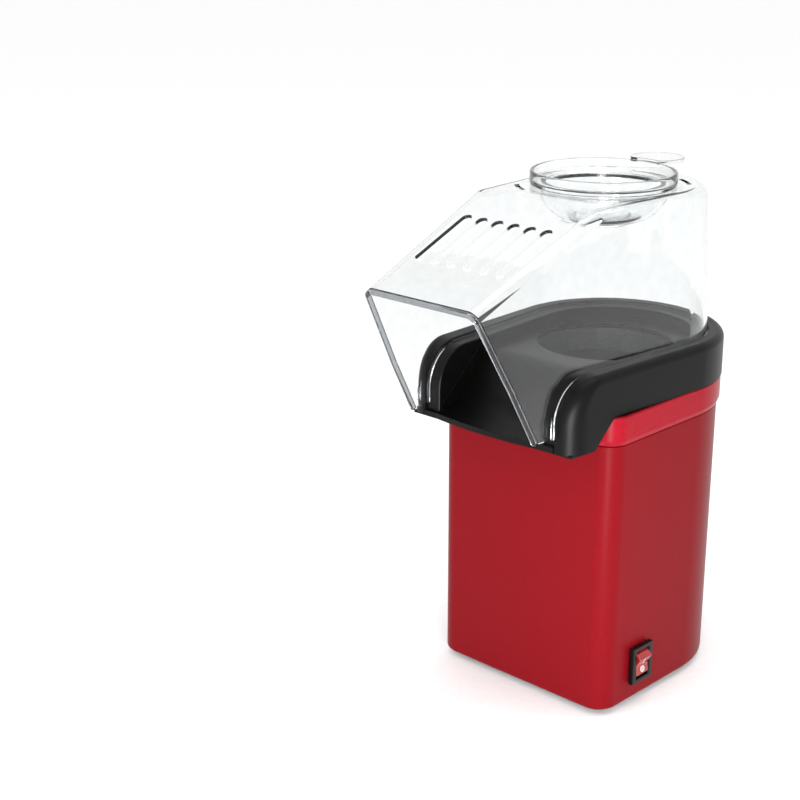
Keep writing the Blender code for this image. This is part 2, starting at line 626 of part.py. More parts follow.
def make_base(frame):
    black = black_plastic()
    low = BODY_RADIUS - BODY_DRAFT
    outline = body_outline(BODY_WALL + GAP, low)
    plate = add("base_plate", loft([(outline, PLATE_BOTTOM), (outline, PLATE_TOP)]), black, frame)
    posts = [cylinder(BOARD_POST, PLATE_TOP - PLATE / 2, PLATE_TOP + BOARD_LIFT, (x, y), 12)
             for x, y in board_posts()]
    combine(plate, add("post_guide", join(posts), black, frame), "UNION")
    cuts = []
    for k in range(INLET_SLOTS):
        x = (k - (INLET_SLOTS - 1) / 2) * INLET_PITCH
        length = 2 * math.sqrt(INLET_RADIUS ** 2 - x ** 2)
        outline = slot_outline(INLET_WIDTH, length, (x, AXIS_Y))
        cuts.append(loft([(outline, PLATE_BOTTOM - PAST), (outline, PLATE_TOP + PAST)]))
    for place in boss_places():
        cuts.append(cylinder(SCREW_RADIUS + GAP, PLATE_BOTTOM - PAST, PLATE_TOP + PAST, place, 12))
    for place in foot_places():
        cuts.append(cylinder(FOOT_STEM + GAP, PLATE_BOTTOM - PAST, PLATE_TOP + PAST, place, 16))
    combine(plate, add("plate_hole_guide", join(cuts), black, frame))

    under = PLATE_BOTTOM - GAP
    foot = turned([(0, 0), (FOOT_RADIUS - 1 * MM, 0), (FOOT_RADIUS, 1 * MM), (FOOT_RADIUS, under),
                   (FOOT_STEM, under), (FOOT_STEM, PLATE_TOP + GAP), (FOOT_STEM + 1 * MM, PLATE_TOP + GAP),
                   (FOOT_STEM, PLATE_TOP + 2 * MM), (0, PLATE_TOP + 2 * MM)], steps=20)
    places = foot_places()
    first = add("foot_1", foot, rubber(), frame)
    first.location = (*places[0], 0)
    for k in range(1, len(places)):
        copy_at(f"foot_{k + 1}", first, (*places[k], 0))

    head = PLATE_BOTTOM - GAP
    screw = turned([(0, head - SCREW_HEAD_HEIGHT), (SCREW_HEAD, head - SCREW_HEAD_HEIGHT),
                    (SCREW_HEAD, head), (SCREW_RADIUS, head),
                    (SCREW_RADIUS, head + SCREW_LENGTH), (0, head + SCREW_LENGTH)], steps=12)
    first = add("base_screw_1", screw, zinc_steel(), frame)
    places = boss_places()
    first.location = (*places[0], 0)
    for k in range(1, len(places)):
        copy_at(f"base_screw_{k + 1}", first, (*places[k], 0))


def make_chamber(frame):
    r, wall, turn = CHAMBER_RADIUS, CHAMBER_WALL, CHAMBER_ROUND
    low, top = CHAMBER_BOTTOM, CHAMBER_TOP
    outer = [(r - turn + turn * math.sin(t), low + turn * (1 - math.cos(t)))
             for t in (math.radians(90 * k / 4) for k in range(5))]
    inner = [(r - turn + (turn - wall) * math.sin(t), low + turn - (turn - wall) * math.cos(t))
             for t in (math.radians(90 * k / 4) for k in range(4, -1, -1))]
    profile = [(0, low + 4 * wall), (r / 2, low)] + outer
    profile += [(r, top - wall), (r + CHAMBER_FLANGE, top - wall), (r + CHAMBER_FLANGE, top),
                (r - wall, top)] + inner + [(r / 2, low + wall), (0, low + 5 * wall)]
    axis = (0, AXIS_Y)
    pot = add("popping_chamber", turned(profile, axis, 32), aluminium(), frame)
    cuts = []
    height = low + turn + LOUVRE_LENGTH * 0.45
    for k in range(LOUVRES):
        lean = Matrix.Rotation(math.radians(30), 4, "X")
        bm = block((4 * turn, LOUVRE_WIDTH, LOUVRE_LENGTH), (0, 0, 0))
        bmesh.ops.transform(bm, matrix=Matrix.Translation((r, 0, 0)) @ lean, verts=bm.verts)
        turn_round = Matrix.Rotation(2 * math.pi * (k + 0.5) / LOUVRES, 4, "Z")
        place = Matrix.Translation((0, AXIS_Y, height)) @ turn_round
        bmesh.ops.transform(bm, matrix=place, verts=bm.verts)
        cuts.append(bm)
    combine(pot, add("louvre_guide", join(cuts), aluminium(), frame))
    clamp_top = top - wall - GAP
    inside, outside = r + GAP, r + CLAMP_WIDTH
    add("chamber_clamp_ring", turned([
        (inside, clamp_top - CLAMP_THICKNESS), (outside, clamp_top - CLAMP_THICKNESS),
        (outside, clamp_top), (inside, clamp_top)], axis, 40, closed=True), zinc_steel(), frame)


def make_duct(frame):
    axis = (0, AXIS_Y)
    r, wall = DUCT_RADIUS, DUCT_WALL
    add("heater_duct", turned([
        (r - wall, DUCT_BOTTOM), (r, DUCT_BOTTOM), (r, DUCT_TOP), (CHAMBER_RADIUS + GAP, DUCT_TOP),
        (CHAMBER_RADIUS + GAP, DUCT_TOP - wall), (r - wall, DUCT_TOP - wall)],
        axis, 40, closed=True), zinc_steel(), frame)
    shroud_wall = 1.5 * MM
    add("fan_shroud", turned([
        (SHROUD_INLET, SHROUD_BOTTOM), (r, SHROUD_BOTTOM), (r, SHROUD_TOP),
        (r - shroud_wall, SHROUD_TOP), (r - shroud_wall, SHROUD_BOTTOM + SHROUD_PLATE),
        (SHROUD_INLET, SHROUD_BOTTOM + SHROUD_PLATE)],
        axis, 40, closed=True), finish("bakelite", (0.05, 0.035, 0.03), 0.6), frame)
    length = 2 * (r - wall - GAP) * 0.99
    size = (length, MICA, MICA_HEIGHT)
    centre = (0, AXIS_Y, (MICA_BOTTOM + MICA_TOP) / 2)
    plate_a = add("mica_plate_1", block(size, centre), mica(), frame)
    plate_b = add("mica_plate_2", block((MICA, length, MICA_HEIGHT), centre), mica(), frame)
    notch = (MICA + 2 * GAP, 4 * MICA, MICA_HEIGHT / 2 + GAP)
    upper = block((notch[0], notch[1], MICA_HEIGHT), (0, AXIS_Y, centre[2] + MICA_HEIGHT / 2 - GAP))
    combine(plate_a, add("upper_notch_guide", upper, mica(), frame))
    lower = block((notch[1], notch[0], MICA_HEIGHT), (0, AXIS_Y, centre[2] - MICA_HEIGHT / 2 + GAP))
    combine(plate_b, add("lower_notch_guide", lower, mica(), frame))


def make_coil(frame):
    """Resistance wire wound as a small helix that closes into a ring above the mica cross."""
    curve = bpy.data.curves.new("heating_coil", "CURVE")
    curve.dimensions = "3D"
    curve.bevel_depth = COIL_WIRE
    curve.bevel_resolution = 1
    count = COIL_TURNS * 6
    line = curve.splines.new("POLY")
    line.points.add(count - 1)
    for k in range(count):
        round_ring = 2 * math.pi * k / count
        round_wire = round_ring * COIL_TURNS
        radius = COIL_RADIUS + COIL_TURN * math.cos(round_wire)
        line.points[k].co = (radius * math.cos(round_ring), radius * math.sin(round_ring),
                             COIL_TURN * math.sin(round_wire), 1.0)
    line.use_cyclic_u = True
    made = bpy.data.objects.new("heating_coil", curve)
    made.location = (0, AXIS_Y, COIL_Z)
    made.parent = frame
    curve.materials.append(finish("resistance_wire", (0.35, 0.33, 0.31), 0.45, 1.0))
    bpy.context.scene.collection.objects.link(made)


def make_safety_parts(frame):
    front = AXIS_Y - DUCT_RADIUS - GAP - THERMOSTAT_HEIGHT / 2
    z = (DUCT_BOTTOM + DUCT_TOP) / 2
    add("thermostat", lying_cylinder(THERMOSTAT_RADIUS, THERMOSTAT_HEIGHT, (0, front, z), "Y", 20),
        finish("phenolic", (0.09, 0.06, 0.045), 0.55), frame)
    fuse_y = AXIS_Y - DUCT_RADIUS - GAP - FUSE_RADIUS
    place = (0, fuse_y, z + THERMOSTAT_RADIUS + 2 * FUSE_RADIUS)
    add("thermal_fuse", lying_cylinder(FUSE_RADIUS, FUSE_LENGTH, place, "X"),
        finish("fuse_metal", (0.7, 0.66, 0.55), 0.35, 1.0), frame)


def make_motor(frame):
    axis = (0, AXIS_Y)
    hole = SHAFT_RADIUS + GAP
    steel = zinc_steel()
    add("motor_can", turned([
        (MOTOR_RADIUS - MOTOR_WALL, CAN_BOTTOM), (MOTOR_RADIUS, CAN_BOTTOM),
        (MOTOR_RADIUS, CAN_TOP), (hole, CAN_TOP), (hole, CAN_TOP - 2 * MOTOR_WALL),
        (MOTOR_RADIUS - MOTOR_WALL, CAN_TOP - 2 * MOTOR_WALL)],
        axis, 28, closed=True), steel, frame)
    add("motor_end_cap", cylinder(MOTOR_RADIUS - GAP, MOTOR_BOTTOM, MOTOR_BOTTOM + END_CAP, axis, 28),
        finish("nylon", (0.75, 0.74, 0.68), 0.5), frame)

    spin_origin = (0, AXIS_Y, FAN_BOTTOM)
    low = CAN_BOTTOM + 2 * MOTOR_WALL
    add("motor_shaft", cylinder(SHAFT_RADIUS, low, FAN_BOTTOM + FAN_HEIGHT + 2 * MM, axis, 16),
        steel, frame, spin_origin)
    bore = SHAFT_RADIUS + SHAFT_CLEARANCE
    arm_low = low + 4 * MM
    add("motor_armature", turned([
        (bore, arm_low), (ARMATURE_RADIUS, arm_low), (ARMATURE_RADIUS, arm_low + ARMATURE_LENGTH),
        (bore, arm_low + ARMATURE_LENGTH)], axis, 24, closed=True),
        finish("copper_winding", (0.55, 0.24, 0.12), 0.4, 1.0), frame, spin_origin)
    fan_top = FAN_BOTTOM + FAN_HEIGHT
    fan = add("fan", turned([
        (bore, FAN_BOTTOM), (FAN_RADIUS, FAN_BOTTOM), (FAN_RADIUS, FAN_BOTTOM + FAN_DISC),
        (FAN_HUB, FAN_BOTTOM + FAN_DISC), (FAN_HUB, fan_top), (bore, fan_top)],
        axis, 36, closed=True), finish("fan_plastic", (0.82, 0.81, 0.76), 0.45), frame, spin_origin)
    inner = FAN_HUB - 1.5 * MM
    blades = []
    for k in range(FAN_BLADES):
        size = (FAN_RADIUS - 1 * MM - inner, FAN_BLADE, FAN_HEIGHT - FAN_DISC)
        centre = ((FAN_RADIUS - 1 * MM + inner) / 2, 0, size[2] / 2 + FAN_DISC / 2)
        blades.append(block(size, centre, 2 * math.pi * k / FAN_BLADES))
    blades = join(blades)
    bmesh.ops.translate(blades, vec=spin_origin, verts=blades.verts)
    combine(fan, add("blade_guide", blades, black_plastic(), frame, spin_origin), "UNION")

    spider = add("motor_mount", turned([
        (hole, SPIDER_BOTTOM), (MOTOR_RADIUS + 1 * MM, SPIDER_BOTTOM),
        (MOTOR_RADIUS + 1 * MM, SPIDER_BOTTOM + SPIDER_PLATE), (hole, SPIDER_BOTTOM + SPIDER_PLATE)],
        axis, 28, closed=True), steel, frame)
    radial, across = SPIDER_LEG
    reach = SHROUD_INLET + 2 * radial
    parts = []
    for k in range(SPIDER_LEGS):
        spin = 2 * math.pi * k / SPIDER_LEGS + math.pi / 2
        start = MOTOR_RADIUS - 2 * MM
        plate_z = SPIDER_BOTTOM + SPIDER_PLATE / 2
        parts.append(block((reach - radial / 2 - start, across, SPIDER_PLATE * 0.9),
                           ((reach - radial / 2 + start) / 2, 0, plate_z), spin))
    bottom, top = PLATE_TOP + GAP, SHROUD_BOTTOM - GAP
    legs = []
    for k in range(SPIDER_LEGS):
        spin = 2 * math.pi * k / SPIDER_LEGS + math.pi / 2
        legs.append(block((radial, across * 1.1, top - bottom),
                          (reach - radial / 2, 0, (top + bottom) / 2), spin))
    for name, group in (("spider_arm_guide", parts), ("spider_leg_guide", legs)):
        bm = join(group)
        bmesh.ops.translate(bm, vec=(0, AXIS_Y, 0), verts=bm.verts)
        combine(spider, add(name, bm, steel, frame), "UNION")


def board_posts():
    half = (BOARD[0] / 2 - BOARD_POST - 1 * MM)
    return [(BOARD_CENTRE[0] - half, BOARD_CENTRE[1]), (BOARD_CENTRE[0] + half, BOARD_CENTRE[1])]


def make_rectifier(frame):
    bottom = PLATE_TOP + BOARD_LIFT + GAP
    centre = (*BOARD_CENTRE, bottom + BOARD[2] / 2)
    add("rectifier_board", block(BOARD, centre), finish("board", (0.02, 0.16, 0.06), 0.5), frame)
    z = bottom + BOARD[2] + GAP + DIODE_RADIUS
    look = finish("diode_epoxy", (0.03, 0.03, 0.035), 0.4)
    pitch = BOARD[0] / 5
    for k in range(4):
        x = BOARD_CENTRE[0] + (k - 1.5) * pitch
        bm = lying_cylinder(DIODE_RADIUS, DIODE_LENGTH, (x, BOARD_CENTRE[1], z), "Y", 10)
        add(f"diode_{k + 1}", bm, look, frame)


def make_switch(frame):
    side = BODY_RADIUS
    depth, width, height = BEZEL
    black = finish("switch_black", (0.015, 0.015, 0.015), 0.4)
    bezel_in = side + GAP
    body = add("switch_body", block(BEZEL, (bezel_in + depth / 2, SWITCH_Y, SWITCH_Z)), black, frame)
    shell = block((SWITCH_BODY[0] + depth / 2, SWITCH_BODY[1], SWITCH_BODY[2]),
                  (bezel_in + depth / 2 - (SWITCH_BODY[0] + depth / 2) / 2, SWITCH_Y, SWITCH_Z))
    combine(body, add("switch_shell_guide", shell, black, frame), "UNION")
    pivot = (side - ROCKER_PIVOT, SWITCH_Y, SWITCH_Z)
    well = 2 * (ROCKER_RADIUS + 2 * GAP)
    pocket = block((well, ROCKER_WIDTH + 2 * GAP, well), (pivot[0] + well / 8, SWITCH_Y, SWITCH_Z))
    combine(body, add("switch_pocket_guide", pocket, black, frame))

    # The rocker's face has two flats that meet in a shallow valley. Its ends are arcs about the
    # pivot, so that they turn past the pocket's walls.
    reach = depth + ROCKER_PIVOT + GAP
    tilt = ROCKER_TILT
    edge = math.sqrt(ROCKER_RADIUS ** 2 - reach ** 2)
    raise_by = 2 * edge * math.tan(tilt)
    half = math.asin(min(0.98, (reach + raise_by / 2) / ROCKER_RADIUS))
    profile = arc((0, 0), ROCKER_RADIUS, math.degrees(half), -25, 5)
    top_points = [Vector((p.y, p.x)) for p in profile]
    bottom_points = [Vector((p.x, -p.y)) for p in reversed(top_points)]
    outline = [Vector((reach - 0.5 * MM, 0))] + top_points + bottom_points
    bm = bmesh.new()
    near = [bm.verts.new((pivot[0] + p.x, SWITCH_Y - ROCKER_WIDTH / 2, pivot[2] + p.y))
            for p in outline]
    made = bmesh.ops.extrude_face_region(bm, geom=[bm.faces.new(near)])
    moved = [v for v in made["geom"] if isinstance(v, bmesh.types.BMVert)]
    bmesh.ops.translate(bm, vec=(0, ROCKER_WIDTH, 0), verts=moved)
    rocker = add("switch_rocker", bm, finish("rocker_red", (0.45, 0.02, 0.02), 0.3), frame, pivot)
    rocker.rotation_euler = (0, tilt, 0)

    back = bezel_in + depth / 2 - (SWITCH_BODY[0] + depth / 2) - GAP
    for k, shift in enumerate((-TERMINAL_PITCH / 2, TERMINAL_PITCH / 2)):
        centre = (back - TERMINAL[0] / 2, SWITCH_Y, SWITCH_Z + shift)
        blade = block(TERMINAL, centre)
        add(f"switch_terminal_{k + 1}", blade, finish("tinned_brass", (0.7, 0.62, 0.4), 0.35, 1.0), frame)


def make_bush(frame):
    wall_out = BODY_BACK_CENTRE + BODY_RADIUS
    end = BUSH_INSIDE + BUSH_PROUD - GAP
    bush = turned([(BUSH_BORE, 0), (BUSH_RADIUS, 0), (BUSH_RADIUS, BUSH_INSIDE),
                   (BUSH_FLANGE, BUSH_INSIDE), (BUSH_FLANGE - BUSH_ROUND, end), (BUSH_BORE, end)],
                  steps=24, closed=True)
    turn = Matrix.Rotation(-math.pi / 2, 4, "X")
    place = Matrix.Translation((0, wall_out + GAP - BUSH_INSIDE, BUSH_Z))
    bmesh.ops.transform(bush, matrix=place @ turn, verts=bush.verts)
    add("cord_bush", bush, rubber(), frame)


def main():
    clear_scene()
    frame = bpy.data.objects.new("frame_origin", None)
    frame.location = (0, FRAME_SHIFT, 0)
    bpy.context.scene.collection.objects.link(frame)
    make_housing(frame)
    make_trim_band(frame)
    make_collar(frame)
    make_hood(frame)
    make_measuring_cup(frame)
    make_base(frame)
    make_chamber(frame)
    make_duct(frame)
    make_coil(frame)
    make_safety_parts(frame)
    make_motor(frame)
    make_rectifier(frame)
    make_switch(frame)
    make_bush(frame)


main()
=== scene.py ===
# %% [markdown]
# # Hot-air popcorn maker
# The machine stands on four rubber feet. A red lacquered housing holds the fan, heater and popping
# chamber. A brighter red trim band and a black moulded collar close it, and the collar runs out into a
# spout. A clear hood lifts off the collar, and a clear measuring cup hangs in the hood's top.
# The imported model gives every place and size. This script adds the fine shapes and the finishes.

# %% The fixed frame
import math

import bmesh
import bpy
from mathutils import Matrix, Vector


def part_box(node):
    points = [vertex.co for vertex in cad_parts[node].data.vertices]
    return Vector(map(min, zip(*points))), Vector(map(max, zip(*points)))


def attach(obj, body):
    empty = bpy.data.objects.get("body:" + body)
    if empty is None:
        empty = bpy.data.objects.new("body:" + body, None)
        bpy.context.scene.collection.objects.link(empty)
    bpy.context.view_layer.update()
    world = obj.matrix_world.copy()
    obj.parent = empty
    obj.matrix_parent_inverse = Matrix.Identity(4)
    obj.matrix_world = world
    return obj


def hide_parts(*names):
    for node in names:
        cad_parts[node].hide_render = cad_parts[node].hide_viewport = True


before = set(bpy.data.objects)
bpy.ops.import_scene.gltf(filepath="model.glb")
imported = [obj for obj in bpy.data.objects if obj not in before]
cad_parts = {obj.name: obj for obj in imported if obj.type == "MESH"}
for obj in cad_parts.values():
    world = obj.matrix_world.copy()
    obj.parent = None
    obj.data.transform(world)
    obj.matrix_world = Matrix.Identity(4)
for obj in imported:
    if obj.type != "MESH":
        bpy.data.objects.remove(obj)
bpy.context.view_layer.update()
MM = 0.001

# %% [markdown]
# Three small helpers serve every piece. `piece` closes a mesh, shades it and hands it to its body.
# `soften` adds a live bevel, which gives each edge the small radius that a mould or a press leaves.
# `linear` turns a hex colour, as a paint chart gives it, into the linear values that the shader uses.

# %% Helpers for objects and colours
SMOOTH_ANGLE = math.radians(32)
made = []


def piece(name, bm, body, material, nodes=(), merge=True):
    """Makes an object of a finished bmesh, at the origin, riding on a body."""
    if merge:
        bmesh.ops.remove_doubles(bm, verts=bm.verts, dist=0.001 * MM)
        bmesh.ops.recalc_face_normals(bm, faces=bm.faces)
    mesh = bpy.data.meshes.new(name)
    bm.to_mesh(mesh)
    bm.free()
    obj = bpy.data.objects.new(name, mesh)
    bpy.context.scene.collection.objects.link(obj)
    mesh.materials.append(material)
    mesh.shade_smooth()
    mesh.set_sharp_from_angle(angle=SMOOTH_ANGLE)
    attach(obj, body)
    if nodes:
        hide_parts(*nodes)
    made.append(name)
    return obj


def soften(obj, width, segments=3, angle=35):
    """Rounds the edges that are sharper than an angle."""
    bevel = obj.modifiers.new("soft edges", "BEVEL")
    bevel.width = width
    bevel.segments = segments
    bevel.limit_method = "ANGLE"
    bevel.angle_limit = math.radians(angle)
    return obj


def thicken(obj, wall):
    """Gives an open skin its wall, inwards."""
    solid = obj.modifiers.new("wall", "SOLIDIFY")
    solid.thickness = wall
    solid.offset = -1
    solid.use_even_offset = True
    return obj


def settle():
    """Turns the live modifiers into mesh, marks the sharp edges and evens the shading."""
    graph = bpy.context.evaluated_depsgraph_get()
    finals = {name: bpy.data.meshes.new_from_object(bpy.data.objects[name].evaluated_get(graph))
              for name in made}
    for name, mesh in finals.items():
        obj = bpy.data.objects[name]
        obj.modifiers.clear()
        obj.data = mesh
        mesh.name = name
        mesh.set_sharp_from_angle(angle=SMOOTH_ANGLE)
        even = obj.modifiers.new("even shading", "WEIGHTED_NORMAL")
        even.keep_sharp = True


def linear(code):
    """Linear colour of an sRGB hex value."""
    parts = [int(code[k:k + 2], 16) / 255 for k in (1, 3, 5)]
    return [c / 12.92 if c < 0.04045 else ((c + 0.055) / 1.055) ** 2.4 for c in parts] + [1.0]


# %% [markdown]
# A finish starts as one Principled shader. A noise on object coordinates mixes two close shades of the
# colour, varies the roughness and lifts the surface a little. The noise cell is the size of what the
# real surface shows: the slight unevenness of a lacquer, the fine spark-eroded grain of a mould, or
# brush lines in metal, which are drawn out along one axis by the Mapping node.

# %% Helper that adds a node, and the finish maker
def add_node(tree, kind, values=None, **links):
    """Adds a node; values are its plain inputs, links are other nodes' outputs."""
    node = tree.nodes.new(kind)
    for name, value in (values or {}).items():
        node.inputs[name].default_value = value
    for name, output in links.items():
        tree.links.new(node.inputs[name.replace("_", " ")], output)
    return node


def finish(name, light, dark, grain, rough, lift, stretch=(1, 1, 1), detail=3.0, **fixed):
    """A material whose colour, roughness and bump follow a grain of that size in metres."""
    material = bpy.data.materials.new(name)
    material.use_nodes = True
    tree = material.node_tree
    tree.nodes.clear()
    place = add_node(tree, "ShaderNodeTexCoord")
    turn = add_node(tree, "ShaderNodeMapping", values={"Scale": stretch},
                    Vector=place.outputs["Object"])
    noise = add_node(tree, "ShaderNodeTexNoise", values={"Scale": 1 / grain, "Detail": detail},
                     Vector=turn.outputs["Vector"])
    ramp = add_node(tree, "ShaderNodeValToRGB", Fac=noise.outputs["Fac"])
    ramp.color_ramp.elements[0].position = 0.3
    ramp.color_ramp.elements[1].position = 0.7
    ramp.color_ramp.elements[0].color = linear(dark)
    ramp.color_ramp.elements[1].color = linear(light)
    gloss = add_node(tree, "ShaderNodeMapRange",
                     values={"To Min": rough[0], "To Max": rough[1]}, Value=noise.outputs["Fac"])
    bump = add_node(tree, "ShaderNodeBump", values={"Strength": 0.6, "Distance": lift},
                    Height=noise.outputs["Fac"])
    values = {key.replace("_", " "): value for key, value in fixed.items()}
    shader = add_node(tree, "ShaderNodeBsdfPrincipled", values=values,
                      Base_Color=ramp.outputs["Color"], Roughness=gloss.outputs["Result"],
                      Normal=bump.outputs["Normal"])
    add_node(tree, "ShaderNodeOutputMaterial", Surface=shader.outputs["BSDF"])
    return material


# %% [markdown]
# The housing is pressed steel with a baked satin lacquer, deep red. The band is glossy red ABS in a
# slightly brighter red. The collar is black polypropylene with a satin mould grain. Hood and cup are
# clear polycarbonate; the hood's thick front bead and its corner fins get a greyer copy of that finish.

# %% The outer finishes
lacquer = finish("baked red lacquer", "#7C0D16", "#700A12", 0.5 * MM, (0.3, 0.38), 0.004 * MM,
                 Specular_IOR_Level=0.06)
band_red = finish("gloss red abs", "#961222", "#8A0E1C", 2.5 * MM, (0.26, 0.32), 0.004 * MM,
                  Specular_IOR_Level=0.08)
black = finish("satin black polypropylene", "#090908", "#060606", 0.6 * MM, (0.34, 0.42), 0.012 * MM,
               IOR=1.49, Specular_IOR_Level=0.14)
clear = finish("clear polycarbonate", "#FCFDFD", "#F6F8F8", 6 * MM, (0.01, 0.03), 0.003 * MM,
               IOR=1.45, Transmission_Weight=1.0)
bead_clear = finish("clear polycarbonate, thick edge", "#A9ADB0", "#9DA1A4", 6 * MM, (0.02, 0.05),
                    0.003 * MM, IOR=1.45, Transmission_Weight=1.0)
bezel_black = finish("gloss black nylon", "#0C0C0D", "#080808", 0.8 * MM, (0.26, 0.34), 0.006 * MM,
                     Specular_IOR_Level=0.25)
rocker_red = finish("translucent dark red polycarbonate", "#B01418", "#7E0A0E", 2 * MM, (0.2, 0.26),
                    0.004 * MM, Transmission_Weight=0.15, Coat_Weight=0.4)
mark_white = finish("pad-printed white ink", "#E6DAD6", "#D8CAC6", 0.3 * MM, (0.5, 0.6), 0.004 * MM)
rubber = finish("moulded black rubber", "#1D1D1D", "#151515", 0.4 * MM, (0.7, 0.82), 0.03 * MM)
aluminium = finish("spun aluminium", "#C9CBCD", "#B4B6B8", 0.5 * MM, (0.26, 0.38), 0.008 * MM,
                   stretch=(0.15, 0.15, 1), Metallic=1.0)
zinc = finish("zinc-plated steel", "#B9BCC0", "#9EA2A8", 1.5 * MM, (0.3, 0.42), 0.01 * MM, Metallic=1.0)
print("outer finishes", len(bpy.data.materials))

# %% [markdown]
# Seen from above, housing, band, collar and hood share one outline: a round back, two straight sides
# and a flat front with rounded corners. One vertex is spun half a turn for the back, two more close the
# front, and a vertex bevel rounds those two corners. Loops of this outline at several heights have the
# same count of vertices, so bridging them gives a skin of clean quads.

# %% Helpers for the shared outline
house_low, house_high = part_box("housing")
BACK_Y = house_high.y - house_high.x
FRONT_Y = house_low.y
CORNER = 11 * MM
BACK_STEPS = 64
CORNER_STEPS = 8


def outline(bm, radius, front, z, corner=CORNER, converge=0.0):
    """Edges of the outline at a height; the straight sides close in by the converge angle."""
    first = bm.verts.new((radius, BACK_Y, z))
    bmesh.ops.spin(bm, geom=[first], cent=(0, BACK_Y, z), axis=(0, 0, 1), angle=math.pi,
                   steps=BACK_STEPS, use_merge=False)
    bm.verts.ensure_lookup_table()
    last = bm.verts[-1]
    half = radius - (BACK_Y - front) * math.tan(converge)
    left = bm.verts.new((-half, front, z))
    right = bm.verts.new((half, front, z))
    for pair in ((last, left), (left, right), (right, first)):
        bm.edges.new(pair)
    loop, here = [], first
    seen = set()
    while here not in seen:
        seen.add(here)
        loop.append(here)
        here = next((e.other_vert(here) for e in here.link_edges
                     if e.other_vert(here) not in seen), here)
    others = set(bm.faces)
    bm.faces.new(loop)
    if corner:
        bmesh.ops.bevel(bm, geom=[left, right], offset=corner, segments=CORNER_STEPS, profile=0.5,
                        affect="VERTICES", material=-1)
    face = next(f for f in bm.faces if f not in others)
    edges = list(face.edges)
    bmesh.ops.delete(bm, geom=[face], context="FACES_ONLY")
    return edges


def everything(bm):
    """All of a bmesh, as an operator's geometry."""
    return bm.verts[:] + bm.edges[:] + bm.faces[:]


def edges_of(geometry):
    """The edges in an operator's result."""
    return [g for g in geometry if isinstance(g, bmesh.types.BMEdge)]


def verts_of(geometry):
    """The vertices in an operator's result."""
    return [g for g in geometry if isinstance(g, bmesh.types.BMVert)]


def skin(bm, loops):
    """Bridges each loop to the next."""
    for below, above in zip(loops, loops[1:]):
        bmesh.ops.bridge_loops(bm, edges=below + above)


def close(bm, edges):
    """Fills one loop with a face."""
    return bmesh.ops.contextual_create(bm, geom=edges)["faces"]


# %% [markdown]
# The housing's wall is one sheet: it narrows slightly towards the bottom, turns in at the lower edge
# with a small radius, and has a rolled upper edge that leaves a fine dark seam under the band. The
# switch needs a window in the right side. Four cutting planes draw it, and the face between them goes.

# %% Housing
FOOT_TURN = 2.4 * MM
SEAM_TURN = 0.9 * MM
HOUSE_WALL = 1.8 * MM
HOUSE_DRAFT = 0.5 * MM
bottom_half = house_high.x - HOUSE_DRAFT
bm = bmesh.new()
loops = []
for k in range(5):
    angle = math.radians(90 * k / 4)
    shrink = FOOT_TURN * (1 - math.sin(angle))
    loops.append(outline(bm, bottom_half - shrink, FRONT_Y + shrink,
                         house_low.z + FOOT_TURN * (1 - math.cos(angle))))
loops.append(outline(bm, house_high.x, FRONT_Y, house_high.z - SEAM_TURN))
loops.append(outline(bm, house_high.x - 0.3 * SEAM_TURN, FRONT_Y + 0.3 * SEAM_TURN,
                     house_high.z - 0.3 * SEAM_TURN))
loops.append(outline(bm, house_high.x - SEAM_TURN, FRONT_Y + SEAM_TURN, house_high.z))
skin(bm, loops)
switch_low, switch_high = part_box("switch_body")
BEZEL_HIDE = 2.2 * MM
window = (switch_low.y + BEZEL_HIDE, switch_high.y - BEZEL_HIDE,
          switch_low.z + BEZEL_HIDE, switch_high.z - BEZEL_HIDE)
for value, axis in ((window[0], (0, 1, 0)), (window[1], (0, 1, 0)),
                    (window[2], (0, 0, 1)), (window[3], (0, 0, 1))):
    bmesh.ops.bisect_plane(bm, geom=everything(bm), plane_co=Vector(axis) * value, plane_no=axis)
hole = []
for face in bm.faces:
    middle = face.calc_center_median()
    if middle.x > 0 and window[0] < middle.y < window[1] and window[2] < middle.z < window[3]:
        hole.append(face)
bmesh.ops.delete(bm, geom=hole, context="FACES")
thicken(piece("housing_shell", bm, "base", lacquer, ["housing"]), HOUSE_WALL)
print("housing window faces", len(hole))

# %% [markdown]
# The trim band stands proud of the housing. Its lower edge is a long chamfer that catches the light as
# a thin line. A closed ring of loops, bridged last to first, makes the whole piece solid.

# %% Trim band
band_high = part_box("trim_band")[1]
BAND_BOTTOM = house_high.z + 0.3 * MM
PROUD = band_high.x - house_high.x
BAND_CHAMFER = 2.5 * MM
BAND_WALL = 2.2 * MM
ring = [(0.0, BAND_BOTTOM), (0.35 * PROUD, BAND_BOTTOM + 0.15 * BAND_CHAMFER),
        (PROUD - 0.25 * MM, BAND_BOTTOM + BAND_CHAMFER),
        (PROUD, BAND_BOTTOM + BAND_CHAMFER + 0.6 * MM), (PROUD, band_high.z - 0.6 * MM),
        (PROUD - 0.6 * MM, band_high.z), (PROUD - BAND_WALL, band_high.z), (-BAND_WALL, BAND_BOTTOM)]
bm = bmesh.new()
loops = [outline(bm, house_high.x + out, FRONT_Y - out, z) for out, z in ring]
skin(bm, loops + loops[:1])
piece("trim_band_shell", bm, "base", band_red, ["trim_band"])

# %% [markdown]
# The collar is one black moulding. In section, from outside to inside, it is a side wall, a rounded
# edge, a shoulder, a small step down to the ledge that carries the hood, and the wall of the tray. That
# section is spun half a turn round the back. Then its two ends are extruded forwards step by step,
# along the flat top, down a quarter circle and down the front of the spout. Each vertex remembers its
# row in the section, so it can be set at its own depth below that curve.

